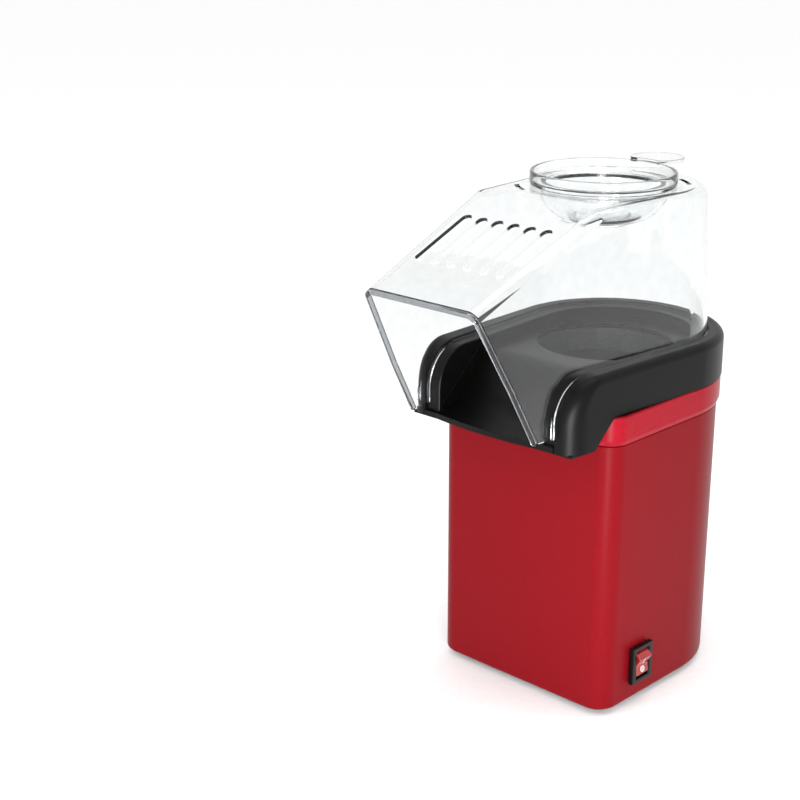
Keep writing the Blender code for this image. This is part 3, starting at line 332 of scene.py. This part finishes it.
# %% Collar section
collar_low, collar_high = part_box("collar")
TOP = collar_high.z
LIP_Y = collar_low.y
COLLAR_BOTTOM = band_high.z + 0.3 * MM
SPOUT_BOTTOM = collar_low.z
SPOUT_LIP = SPOUT_BOTTOM + 3 * MM
ARM = 24 * MM
ARM_Y = LIP_Y + ARM
ARM_Z = TOP - ARM
OUTER = collar_high.x
EDGE = 4.4 * MM
FRONT_EDGE = 11 * MM
EDGE_STEPS = 6
SHOULDER = 8.8 * MM
SEAT_STEP = 2.0 * MM
STRIP = 8.4 * MM
SIDE_CONVERGE = math.tan(math.radians(3.0))
HOOD_ANGLE = math.radians(4.7)
HOOD_CONVERGE = math.tan(HOOD_ANGLE)
TRAY_FLAT = TOP - 8.5 * MM
COLLAR_WALL = 1.9 * MM
inner_rows = [(SHOULDER - 0.8 * MM, 0.25 * MM), (SHOULDER - 0.15 * MM, 0.6 * MM), (SHOULDER, SEAT_STEP),
              (SHOULDER + STRIP, SEAT_STEP), (SHOULDER + STRIP + 0.5 * MM, SEAT_STEP + 0.5 * MM)]
DISH_ROW = EDGE_STEPS + 2
SEAT_ROW = DISH_ROW + 3
WALL_FOOT = DISH_ROW + len(inner_rows) + 1
tray_inset = SHOULDER + STRIP + 0.6 * MM


def half_width(inset, converge, y):
    """Half width of the collar inside its outer wall, at a distance from the round back's centre."""
    return OUTER - inset - (BACK_Y - y) * converge


def depth_of(row, edge):
    """How far a row of the section lies below the top curve; edge is the radius of the outer edge."""
    if 1 <= row < DISH_ROW:
        return edge * (1 - math.sin(math.radians(90 * (row - 1) / EDGE_STEPS)))
    if row == DISH_ROW:
        return 0.4 * MM
    return inner_rows[row - DISH_ROW - 1][1]


def width_at(row, y, edge=EDGE):
    """Half width of a row of the section."""
    if row == 0:
        return half_width(0.0, SIDE_CONVERGE, y)
    if row < DISH_ROW:
        inset = edge * (1 - math.cos(math.radians(90 * (row - 1) / EDGE_STEPS)))
        return half_width(inset, SIDE_CONVERGE, y)
    if row == WALL_FOOT:
        return half_width(tray_inset, HOOD_CONVERGE, y)
    if row == DISH_ROW:
        return (width_at(row - 1, y, edge) + width_at(row + 1, y, edge)) / 2
    return half_width(inner_rows[row - DISH_ROW - 1][0], HOOD_CONVERGE, y)


def along(points, share):
    """Point at a share of the way along a bent line, its spans counted alike."""
    spans = len(points) - 1
    k = min(int(share * spans), spans - 1)
    return points[k].lerp(points[k + 1], share * spans - k)


# %% Stations along the arms: a point of the top curve, the direction inwards and the edge's radius
FLAT_BREAK = LIP_Y + 50 * MM
BORDER_Y = LIP_Y + 32.3 * MM
ARM_STEPS = 14
DOWN = Vector((0, -1))
stations = [(Vector((BACK_Y + (FLAT_BREAK - BACK_Y) * k / 6, TOP)), DOWN, EDGE) for k in range(1, 7)]
stations += [(Vector((LIP_Y + y * MM, TOP)), DOWN, EDGE) for y in (44, 38, 32.3, 28)]
for k in range(ARM_STEPS + 1):
    angle = math.radians(90 * k / ARM_STEPS)
    inwards = Vector((math.sin(angle), -math.cos(angle)))
    share = k / ARM_STEPS
    edge = EDGE + (FRONT_EDGE - EDGE) * share * share * (3 - 2 * share)
    stations.append((Vector((ARM_Y, ARM_Z)) - ARM * inwards, inwards, edge))
stations += [(Vector((LIP_Y, z)), Vector((1, 0)), FRONT_EDGE) for z in
             (ARM_Z - 4 * MM, ARM_Z - 8 * MM, SPOUT_LIP + 0.8 * MM, SPOUT_LIP, SPOUT_BOTTOM)]
LAST = len(stations) - 1
FLAT_END = 5
BORDER_START = 8
scoop_line = [Vector((LIP_Y + y * MM, SPOUT_BOTTOM + z * MM)) for y, z in
              ((50, 30), (45, 29.6), (40.5, 28), (36.5, 25), (33, 21.4), (30, 18), (27, 14.4),
               (24, 11), (20, 7.6), (15, 5), (9, 3.7), (3, 3.1))]
border_line = [Vector((BORDER_Y, COLLAR_BOTTOM)), Vector((LIP_Y + 18 * MM, SPOUT_BOTTOM)),
               Vector((LIP_Y + FRONT_EDGE + 2.5 * MM, SPOUT_BOTTOM))]


def set_place(vert, row, k, side):
    """Puts a vertex of the section at a station of one arm."""
    top, inwards, edge = stations[k]
    if row == 0:
        point = Vector((top.x, COLLAR_BOTTOM))
        if k > BORDER_START:
            point = along(border_line, (k - BORDER_START) / (LAST - BORDER_START))
    elif row == WALL_FOOT:
        point = Vector((top.x, TRAY_FLAT))
        if k >= LAST - 1:
            point = top
        elif k > FLAT_END:
            point = along(scoop_line, (k - FLAT_END) / (LAST - 2 - FLAT_END))
    elif k >= LAST - 1 and row >= SEAT_ROW:
        point = top
    else:
        point = top + inwards * depth_of(row, edge)
    vert.co = (side * width_at(row, point.x, edge), point.x, point.y)


# %% Collar skin
bm = bmesh.new()
row_of = bm.verts.layers.int.new("row")
section = []
for k in range(WALL_FOOT + 1):
    z = {0: COLLAR_BOTTOM, WALL_FOOT: TRAY_FLAT}.get(k) or TOP - depth_of(k, EDGE)
    vert = bm.verts.new((width_at(k, BACK_Y), BACK_Y, z))
    vert[row_of] = k
    section.append(vert)
section_edges = [bm.edges.new(pair) for pair in zip(section, section[1:])]
turned = bmesh.ops.spin(bm, geom=section + section_edges, cent=(0, BACK_Y, 0), axis=(0, 0, 1),
                        angle=math.pi, steps=BACK_STEPS, use_merge=False)
far_edges = edges_of(turned["geom_last"])
for side, ends in ((1, section_edges), (-1, far_edges)):
    for k in range(len(stations)):
        grown = bmesh.ops.extrude_edge_only(bm, edges=ends)["geom"]
        fresh = verts_of(grown)
        for vert in fresh:
            set_place(vert, vert[row_of], k, side)
        ends = [e for e in edges_of(grown) if all(v in fresh for v in e.verts)]
bmesh.ops.remove_doubles(bm, verts=bm.verts, dist=0.002 * MM)
print("collar stations", len(stations), "vertices", len(bm.verts))

# %% [markdown]
# The tray joins the two arms. Its front part is a scoop: bridging the lowest rows of both arms gives
# strips across, which a few cuts divide, and the lip bows out slightly in the middle. Behind the
# scoop, the floor is flat round the chamber's mouth: a triangle fill takes any outline with a hole.

# %% Tray and mouth
chamber_low, chamber_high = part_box("popping_chamber")
MOUTH_Y = (chamber_low.y + chamber_high.y) / 2
MOUTH_INSET = 4.8 * MM
MOUTH = chamber_high.x - MOUTH_INSET
BOW = 2.6 * MM
foot_edges = [e for e in bm.edges if e.is_boundary
              and all(v[row_of] == WALL_FOOT and v.co.y < FLAT_BREAK + 1e-5 for v in e.verts)]
scoop = bmesh.ops.bridge_loops(bm, edges=foot_edges)["faces"]
across = {e for f in scoop for e in f.edges if abs(e.verts[0].co.x - e.verts[1].co.x) > 30 * MM}
divided = bmesh.ops.subdivide_edges(bm, edges=list(across), cuts=11, use_grid_fill=True)
inner = set(verts_of(divided["geom_inner"]))
BOW_DEPTH = 12 * MM
lip_half = width_at(WALL_FOOT, LIP_Y)
for vert in inner:
    near = 1 - (vert.co.y - LIP_Y) / BOW_DEPTH
    if near > 0:
        vert.co.y -= BOW * near * max(0.0, 1 - (vert.co.x / lip_half) ** 2)
flat_edges = [e for e in bm.edges if e.is_boundary
              and all(abs(v.co.z - TRAY_FLAT) < 0.01 * MM for v in e.verts)]
mouth = bmesh.ops.create_circle(bm, segments=72, radius=MOUTH,
                                matrix=Matrix.Translation((0, MOUTH_Y, TRAY_FLAT)))
flat_edges += list({e for v in mouth["verts"] for e in v.link_edges})
bmesh.ops.triangle_fill(bm, edges=flat_edges, use_beauty=True, normal=(0, 0, 1))
thicken(piece("collar_shell", bm, "base", black, ["collar"]), COLLAR_WALL)
print("tray", len(scoop), "strips; mouth radius", round(MOUTH / MM, 1), "mm")

# %% [markdown]
# Under the spout, a plate closes the space between the two legs. A bent line is extruded from side to
# side and thickened.

# %% Underside of the spout
PLATE_LIFT = 0.3 * MM
PLATE_WALL = 1.4 * MM
bm = bmesh.new()
bend = [Vector((LIP_Y + 2.3 * MM, SPOUT_BOTTOM + PLATE_LIFT)),
        Vector((LIP_Y + 18 * MM, SPOUT_BOTTOM + PLATE_LIFT)),
        Vector((LIP_Y + 27.4 * MM, SPOUT_BOTTOM + 9.4 * MM + PLATE_LIFT))]
line = [bm.verts.new((width_at(0, p.x) - COLLAR_WALL - PLATE_LIFT, p.x, p.y)) for p in bend]
edges = [bm.edges.new(pair) for pair in zip(line, line[1:])]
grown = bmesh.ops.extrude_edge_only(bm, edges=edges)["geom"]
bmesh.ops.scale(bm, vec=(-1, 1, 1), verts=verts_of(grown))
plate = piece("spout_underside", bm, "base", black, merge=False)
thicken(plate, PLATE_WALL)
plate.data.flip_normals()
print("spout plate", [round(v / MM, 1) for v in plate.dimensions])

# %% [markdown]
# Inside each wall of the tray runs a thin moulded rib, straight from the lip up to the back. It is a
# bar whose end faces slant with the wall.

# %% Tray ribs
RIB = 0.9 * MM
for side, name in ((1, "tray_rib_right"), (-1, "tray_rib_left")):
    bm = bmesh.new()
    ends = [Vector((LIP_Y + 2.5 * MM, SPOUT_BOTTOM + 6 * MM)),
            Vector((LIP_Y + 35 * MM, SPOUT_BOTTOM + 31.5 * MM))]
    line = [bm.verts.new((side * (width_at(WALL_FOOT, p.x) - RIB), p.x, p.y)) for p in ends]
    grown = bmesh.ops.extrude_edge_only(bm, edges=[bm.edges.new(line)])["geom"]
    bmesh.ops.translate(bm, vec=(side * 1.5 * RIB, 0, 0),
                        verts=verts_of(grown))
    rib = piece(name, bm, "base", black)
    thicken(rib, RIB)
    soften(rib, 0.3 * MM, 2)

# %% [markdown]
# The hood is one blown shell of clear plastic: a drafted wall on the shared outline, a flat roof, a
# slope towards the spout, and an open front. Two loops are bridged for the wall, a cutting plane makes
# the slope, and one bevel rounds the roof's edge. The front walls reach down over the spout, so their
# lower edges are extruded step by step and set along the collar's arm.

# %% Hood wall, roof and slope
hood_low, hood_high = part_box("hood")
HOOD_TOP = hood_high.z
HOOD_SEAT = TOP - SEAT_STEP + 0.3 * MM
HOOD_RADIUS = OUTER - SHOULDER - 0.3 * MM
HOOD_DRAFT = math.tan(math.radians(3.3))
HOOD_ROUND = 5.5 * MM
HOOD_WALL = 2.0 * MM
CREASE = Vector((0, FRONT_Y + 6 * MM, HOOD_TOP))
RIDGE = Vector((0, hood_low.y - 2.2 * MM, HOOD_TOP - 37.6 * MM))
FOOT = Vector((0, LIP_Y - 13.2 * MM, SPOUT_BOTTOM + 7.5 * MM))
BEAD = 2.8 * MM
BEAD_WALL = 2.7 * MM
BEAD_GAP = 0.03 * MM
far = RIDGE.y - 30 * MM
slope_normal = Vector((0, RIDGE.z - CREASE.z, CREASE.y - RIDGE.y)).normalized()
open_normal = Vector((0, FOOT.z - RIDGE.z, RIDGE.y - FOOT.y)).normalized()
print("slope", slope_normal, "opening", open_normal)


bm = bmesh.new()
loops = [outline(bm, HOOD_RADIUS, far, HOOD_SEAT, 0, HOOD_ANGLE),
         outline(bm, HOOD_RADIUS - HOOD_DRAFT * (HOOD_TOP - HOOD_SEAT), far, HOOD_TOP, 0, HOOD_ANGLE)]
skin(bm, loops)
close(bm, [e for e in bm.edges if all(abs(v.co.z - HOOD_TOP) < 0.01 * MM for v in e.verts)])
cut = bmesh.ops.bisect_plane(bm, geom=everything(bm), plane_co=CREASE, plane_no=slope_normal,
                             clear_outer=True)["geom_cut"]
close(bm, edges_of(cut))
for y in (ARM_Y, LIP_Y):
    bmesh.ops.bisect_plane(bm, geom=everything(bm), plane_co=(0, y, 0), plane_no=(0, 1, 0))
bm.normal_update()
tops = {f for f in bm.faces if abs(f.normal.z) > 0.8}
rim = [e for e in bm.edges if sum(f in tops for f in e.link_faces) == 1 and len(e.link_faces) == 2
       and max(v.co.y for v in e.verts) > far + 0.1 * MM]
bmesh.ops.bevel(bm, geom=rim, offset=HOOD_ROUND, segments=6, profile=0.5, affect="EDGES", material=-1)
print("hood skin", len(bm.faces), "faces,", len(rim), "rim edges")

# %% Hood's lower front walls
REACH_STEPS = 12
share_of = bm.verts.layers.float.new("share")
ring = ARM - SEAT_STEP + 0.3 * MM
for side in (1, -1):
    ends = [e for e in bm.edges if e.is_boundary
            and all(abs(v.co.z - HOOD_SEAT) < 0.01 * MM and v.co.y < ARM_Y + 0.1 * MM
                    and v.co.x * side > 0 for v in e.verts)
            and abs(e.verts[0].co.y - e.verts[1].co.y) > 1 * MM]
    for vert in {v for e in ends for v in e.verts}:
        vert[share_of] = (ARM_Y - vert.co.y) / (ARM_Y - far)
    for k in range(1, REACH_STEPS + 1):
        z = HOOD_SEAT + (FOOT.z - HOOD_SEAT) * k / REACH_STEPS
        above = min(1.0, max(0.0, (z - ARM_Z) / ring))
        back = ARM_Y - ring * math.sqrt(1 - above ** 2)
        grown = bmesh.ops.extrude_edge_only(bm, edges=ends)["geom"]
        fresh = verts_of(grown)
        for vert in fresh:
            y = back + vert[share_of] * (far - back)
            vert.co = (side * (HOOD_RADIUS - (BACK_Y - y) * HOOD_CONVERGE), y, z)
        ends = [e for e in edges_of(grown) if all(v in fresh for v in e.verts)]

# %% [markdown]
# The open front ends in a thicker bead. The wall is cut one bead back from the opening plane. The cut
# edge is copied and extruded forwards to that plane as a ribbon, which its own wall then thickens.

# %% Open front and its bead
cut = bmesh.ops.bisect_plane(bm, geom=everything(bm), plane_co=RIDGE - open_normal * (BEAD + BEAD_GAP),
                             plane_no=open_normal, clear_outer=True)["geom_cut"]
bead = bmesh.new()
twins = {}
for edge in edges_of(cut):
    for vert in edge.verts:
        if vert not in twins:
            twins[vert] = bead.verts.new(vert.co + open_normal * BEAD_GAP)
    bead.edges.new([twins[v] for v in edge.verts])
grown = bmesh.ops.extrude_edge_only(bead, edges=bead.edges[:])["geom"]
bmesh.ops.translate(bead, vec=open_normal * BEAD, verts=verts_of(grown))
print("bead edges", len(edges_of(cut)))

# %% [markdown]
# Steam leaves through six long slots in the slope and four short ones round the cup. In a flat face, a
# triangle fill leaves each inner outline open, so the slots need no cutting: the flat faces go, and the
# fill takes their border with the outlines of the holes.

# %% Slots and the cup's opening
SLOTS = 6
SLOT_PITCH = 10.6 * MM
SLOT_HALF = 3.0 * MM
SLOT_BACK = LIP_Y + 15 * MM
SLOT_FRONT = LIP_Y - 24.8 * MM
ARC_RADIUS = 46.3 * MM
ARC_HALF = 1.3 * MM
ARC_ANGLES = (53, 127, 233, 307)
ARC_SPAN = math.radians(20)
cup_low, cup_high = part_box("measuring_cup")
CUP_FLANGE = cup_high.x
CUP_Y = cup_low.y + CUP_FLANGE
CUP_HOLE = 33.8 * MM


def refill(bm, normal, make_holes):
    """Replaces the flat faces that look along a normal by one fill that leaves the holes open."""
    bm.normal_update()
    flat = [f for f in bm.faces if abs(f.normal.dot(normal)) > 0.9999 and f.calc_area() > 1e-5]
    inside = set(flat)
    border = list({e for f in flat for e in f.edges if sum(g in inside for g in e.link_faces) == 1})
    bmesh.ops.delete(bm, geom=flat, context="FACES_ONLY")
    loose = [e for e in bm.edges if not e.link_faces and e not in border]
    bmesh.ops.delete(bm, geom=loose, context="EDGES")
    border = [e for e in border if e.is_valid]
    bmesh.ops.triangle_fill(bm, edges=border + make_holes(bm), use_beauty=True, normal=normal)


def slope_holes(bm):
    """Six slots with round ends, drawn on the slope."""
    found = []
    along_slope = (RIDGE - CREASE).normalized()
    length = (SLOT_BACK - SLOT_FRONT) / -along_slope.y - 2 * SLOT_HALF
    turn = Matrix((Vector((1, 0, 0)), -along_slope, slope_normal)).transposed().to_4x4()
    for k in range(SLOTS):
        y = SLOT_BACK - SLOT_HALF
        start = Vector(((k - (SLOTS - 1) / 2) * SLOT_PITCH, y,
                        CREASE.z + (y - CREASE.y) * (RIDGE.z - CREASE.z) / (RIDGE.y - CREASE.y)))
        ring = bmesh.ops.create_circle(bm, segments=20, radius=SLOT_HALF,
                                       matrix=Matrix.Translation(start) @ turn)["verts"]
        front = [v for v in ring if (v.co - start).dot(along_slope) > 0.01 * MM]
        bmesh.ops.translate(bm, vec=along_slope * length, verts=front)
        found += list({e for v in ring for e in v.link_edges})
    return found


def roof_holes(bm):
    """The cup's round opening and four curved slots round it."""
    centre = Vector((0, CUP_Y, HOOD_TOP))
    opening = bmesh.ops.create_circle(bm, segments=72, radius=CUP_HOLE,
                                      matrix=Matrix.Translation(centre))["verts"]
    found = list({e for v in opening for e in v.link_edges})
    before = set(bm.faces)
    for degrees in ARC_ANGLES:
        turn = Matrix.Rotation(math.radians(degrees) - ARC_SPAN / 2, 3, "Z")
        pair = [bm.verts.new(centre + turn @ Vector((r, 0, 0)))
                for r in (ARC_RADIUS - ARC_HALF, ARC_RADIUS + ARC_HALF)]
        bmesh.ops.spin(bm, geom=pair + [bm.edges.new(pair)], cent=centre, axis=(0, 0, 1),
                       angle=ARC_SPAN, steps=8, use_merge=False)
    strips = [f for f in bm.faces if f not in before]
    edges = {e for f in strips for e in f.edges}
    inner = [e for e in edges if len(e.link_faces) == 2]
    found += [e for e in edges if len(e.link_faces) == 1]
    bmesh.ops.delete(bm, geom=strips, context="FACES_ONLY")
    bmesh.ops.delete(bm, geom=inner, context="EDGES")
    return found


refill(bm, slope_normal, slope_holes)
refill(bm, Vector((0, 0, 1)), roof_holes)
hood = thicken(piece("clear_hood", bm, "hood", clear, ["hood"]), HOOD_WALL)
bead = thicken(piece("hood_front_bead", bead, "hood", bead_clear), BEAD_WALL)
soften(bead, 0.9 * MM, 3)
print("hood", [round(v / MM, 1) for v in hood.dimensions])

# %% [markdown]
# At its two lower front corners the hood has a small upright fin that stops it against the collar's
# legs. Each is one five-sided face, thickened.

# %% Hood corner fins
FIN_Y = LIP_Y - 2.4 * MM
FIN_WALL = 1.6 * MM
FIN_OUTLINE = ((2.6, 0.4), (4.2, 1.2), (4.6, 3.5), (4.4, 8), (2.6, 13))
foot_x = HOOD_RADIUS - (BACK_Y - FOOT.y) * HOOD_CONVERGE
fin = bmesh.new()
for side in (1, -1):
    fin.faces.new([fin.verts.new((side * (foot_x + x * MM), FIN_Y, FOOT.z + z * MM))
                   for x, z in FIN_OUTLINE])
fin = thicken(piece("hood_corner_fins", fin, "hood", bead_clear), FIN_WALL)
soften(fin, 0.4 * MM, 2)
print("fins", [round(v / MM, 1) for v in fin.dimensions])

# %% [markdown]
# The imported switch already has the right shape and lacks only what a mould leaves: joined faces and
# small radii. A copy is merged, its flat faces are joined again, and a bevel rounds its edges.

# %% Switch from merged copies
FLAT_ANGLE = math.radians(1)


def merged_copy(node):
    """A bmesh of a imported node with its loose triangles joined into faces."""
    bm = bmesh.new()
    bm.from_mesh(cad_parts[node].data)
    bmesh.ops.remove_doubles(bm, verts=bm.verts, dist=0.002 * MM)
    bmesh.ops.dissolve_limit(bm, angle_limit=FLAT_ANGLE, verts=bm.verts, edges=bm.edges)
    return bm


switch = piece("switch_bezel", merged_copy("switch_body"), "base", bezel_black,
               ["switch_body"])
soften(switch, 0.5 * MM, 3)
bm = merged_copy("switch_rocker")
paddles = sorted((f for f in bm.faces if f.normal.x > 0.7), key=lambda f: -f.calc_area())[:2]
paddles = [(f.calc_center_median(), f.normal.copy()) for f in paddles]
rocker = piece("rocker_paddle", bm, "rocker", rocker_red, ["switch_rocker"])
soften(rocker, 0.4 * MM, 3)
print("rocker faces", [[round(c / MM, 1) for c in middle] for middle, _ in paddles])

# %% [markdown]
# The rocker carries the two usual marks, a bar for on and a ring for off, printed in a pale ink. Each
# is a thin pad that lies on its half of the rocker.

# %% Switch marks
INK = 0.12 * MM
BAR = (3.4 * MM, 0.7 * MM, 2 * INK)
RING_OUT = 1.8 * MM
RING_IN = 1.2 * MM
paddles.sort(key=lambda p: p[0].z)
for name, (middle, normal) in zip(("mark_off", "mark_on"), paddles):
    bm = bmesh.new()
    place = Matrix.Translation(middle) @ normal.to_track_quat("Z", "X").to_matrix().to_4x4()
    if name == "mark_on":
        bmesh.ops.create_cube(bm, size=1.0, matrix=place @ Matrix.Diagonal((*BAR, 1)))
    else:
        rings = [bmesh.ops.create_circle(bm, segments=32, radius=r,
                                         matrix=place @ Matrix.Translation((0, 0, z)))
                 for r, z in ((RING_OUT, -INK), (RING_OUT, INK), (RING_IN, INK), (RING_IN, -INK))]
        loops = [list({e for v in ring["verts"] for e in v.link_edges}) for ring in rings]
        skin(bm, loops + loops[:1])
    piece("rocker_" + name, bm, "rocker", mark_white)

# %% [markdown]
# The measuring cup is turned: its section, from the middle of the foot up the outside, over the rim and
# back down the inside, is spun a full turn. The thumb tab is a disc whose inner edge is pushed out to
# the rim, so nothing of it shows inside the cup.

# %% Measuring cup
CUP_BOTTOM = cup_low.z
outside = [(0, 0.6), (11.5, 0.6), (12.2, 0), (14.2, 0), (14.8, 0.8), (15.2, 1.6), (20.5, 2.4),
           (25, 4.2), (28.6, 6.9), (31.2, 10.2), (32.8, 14.2), (33.4, 18), (33.5, 20.2), (34.2, 21),
           (38.6, 21), (39.3, 21.6), (39.5, 23), (39.5, 27.4), (39.2, 28.3), (38.5, 28.9),
           (37.6, 28.6), (37.2, 27.8), (37.2, 24.2), (36.6, 23.2), (32.4, 22.8), (31.6, 22), (31.3, 18),
           (30.6, 14.8), (29, 11), (26.6, 8.2), (23.4, 5.9), (19.4, 4.4), (14, 3.8), (0, 3.7)]
bm = bmesh.new()
line = [bm.verts.new((x * MM, CUP_Y, CUP_BOTTOM + z * MM)) for x, z in outside]
edges = [bm.edges.new(pair) for pair in zip(line, line[1:])]
bmesh.ops.spin(bm, geom=line + edges, cent=(0, CUP_Y, 0), axis=(0, 0, 1), angle=2 * math.pi,
               steps=72, use_merge=True)
TAB = 15 * MM
TAB_Y = cup_high.y - TAB
TAB_WALL = 2.4 * MM
TAB_Z = cup_high.z - 2.6 * MM
TAB_INNER = CUP_FLANGE - 1.2 * MM
tab = bmesh.ops.create_circle(bm, cap_ends=True, segments=48, radius=TAB,
                              matrix=Matrix.Translation((0, TAB_Y, TAB_Z)))
axis = Vector((0, CUP_Y, TAB_Z))
for vert in tab["verts"]:
    reach = vert.co - axis
    if reach.length < TAB_INNER:
        vert.co = axis + reach.normalized() * TAB_INNER
lid = list({f for v in tab["verts"] for f in v.link_faces})
raised = bmesh.ops.extrude_face_region(bm, geom=lid)["geom"]
bmesh.ops.translate(bm, vec=(0, 0, TAB_WALL), verts=verts_of(raised))
cup = piece("clear_measuring_cup", bm, "cup", clear, ["measuring_cup"])
soften(cup, 0.5 * MM, 2, 50)

# %% [markdown]
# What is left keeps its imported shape. Each node gets the finish of what it is made of, so the inside
# reads right through the slots, the mouth and the open base.

# %% Finishes of the other nodes
kept = {
    "black_plastic": black, "rubber": rubber, "chamber_aluminium": aluminium, "zinc_steel": zinc,
    "bakelite": finish("brown-black bakelite", "#2A1D16", "#1C130E", 1 * MM, (0.35, 0.45), 0.01 * MM),
    "mica": finish("silvery mica sheet", "#B9A98A", "#9C8B6B", 1.4 * MM, (0.3, 0.5), 0.02 * MM,
                   stretch=(1, 1, 0.3), Metallic=0.2),
    "resistance_wire": finish("oxidised nichrome wire", "#6E6862", "#4C4743", 0.4 * MM, (0.4, 0.55),
                              0.01 * MM, Metallic=1.0),
    "phenolic": finish("natural phenolic", "#5A3A20", "#432A17", 1.2 * MM, (0.45, 0.55), 0.01 * MM),
    "fuse_metal": finish("nickel-plated fuse case", "#C6C2B8", "#ABA79D", 0.7 * MM, (0.22, 0.32),
                         0.006 * MM, Metallic=1.0),
    "nylon": finish("natural glass-filled nylon", "#D9D4C6", "#C9C3B3", 0.9 * MM, (0.42, 0.52), 0.012 * MM),
    "board": finish("brown paper-phenolic board", "#7A5A2E", "#674A24", 1.1 * MM, (0.5, 0.6), 0.01 * MM),
    "switch_black": bezel_black,
    "tinned_brass": finish("tinned brass", "#CFCBBE", "#B5B1A2", 0.6 * MM, (0.28, 0.38), 0.006 * MM,
                           Metallic=1.0),
    "fan_plastic": finish("grey nylon fan", "#4B4D50", "#3C3E41", 0.8 * MM, (0.4, 0.5), 0.012 * MM),
    "copper_winding": finish("enamelled copper winding", "#B5622E", "#8E481F", 0.5 * MM, (0.3, 0.42),
                             0.03 * MM, stretch=(1, 1, 0.1), Metallic=1.0),
    "diode_epoxy": finish("black epoxy", "#1A1A1B", "#121213", 0.4 * MM, (0.35, 0.45), 0.006 * MM),
}
for name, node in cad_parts.items():
    for place in node.material_slots:
        base = place.material.name.split(".")[0]
        if base in kept:
            place.material = kept[base]
        elif not node.hide_render:
            print("no finish for", name, base)

# %% [markdown]
# A pale floor and a white surround carry the machine. A narrow panel close to the front corner makes
# the lacquer brighter on both sides of that corner. A large panel from the left front and one from
# above light the rest and draw the edges of the black collar.

# %% Floor, surround, lights and camera
bm = bmesh.new()
bmesh.ops.create_grid(bm, x_segments=1, y_segments=1, size=6.0)
mesh = bpy.data.meshes.new("studio_floor")
bm.to_mesh(mesh)
bm.free()
floor = bpy.data.objects.new("studio_floor", mesh)
bpy.context.scene.collection.objects.link(floor)
mesh.materials.append(finish("matt white paper", "#FFFFFF", "#FAFAFA", 4 * MM, (0.85, 0.95), 0.002 * MM))
scene = bpy.context.scene
scene.view_settings.view_transform = "Standard"
world = bpy.data.worlds.new("white surround")
scene.world = world
world.use_nodes = True
world.node_tree.nodes["Background"].inputs["Color"].default_value = (1, 1, 1, 1)
world.node_tree.nodes["Background"].inputs["Strength"].default_value = 1.0
AIM = Vector((0, 0, 0.15))


def panel(name, place, size, power):
    """A soft rectangular light that looks at the machine."""
    data = bpy.data.lights.new(name, "AREA")
    data.shape = "RECTANGLE"
    data.size, data.size_y = size
    data.energy = power
    lamp = bpy.data.objects.new(name, data)
    lamp.location = place
    lamp.rotation_euler = (AIM - Vector(place)).to_track_quat("-Z", "Y").to_euler()
    scene.collection.objects.link(lamp)


panel("corner panel", (0.31, -0.34, 0.1), (0.12, 0.3), 2.6)
panel("key panel", (-0.5, -1.1, 0.9), (0.7, 0.9), 3)
panel("top panel", (0.1, 0.2, 1.4), (0.9, 0.9), 5)

CAMERA = Vector((0.5197, -0.6619, 0.4372))
TARGET = Vector((-0.0743, -0.0457, 0.1556))
lens = bpy.data.cameras.new("camera")
lens.sensor_width = 36
lens.lens = 73.03
camera = bpy.data.objects.new("camera", lens)
camera.location = CAMERA
camera.rotation_euler = (TARGET - CAMERA).to_track_quat("-Z", "Y").to_euler()
scene.collection.objects.link(camera)
scene.camera = camera
print("pieces", made)

# %% [markdown]
# A last pass turns the walls and bevels into mesh. Each face then pulls on the shading by its area, so
# wide faces stay flat and only the small radii turn the light.

# %% Settle the meshes
settle()
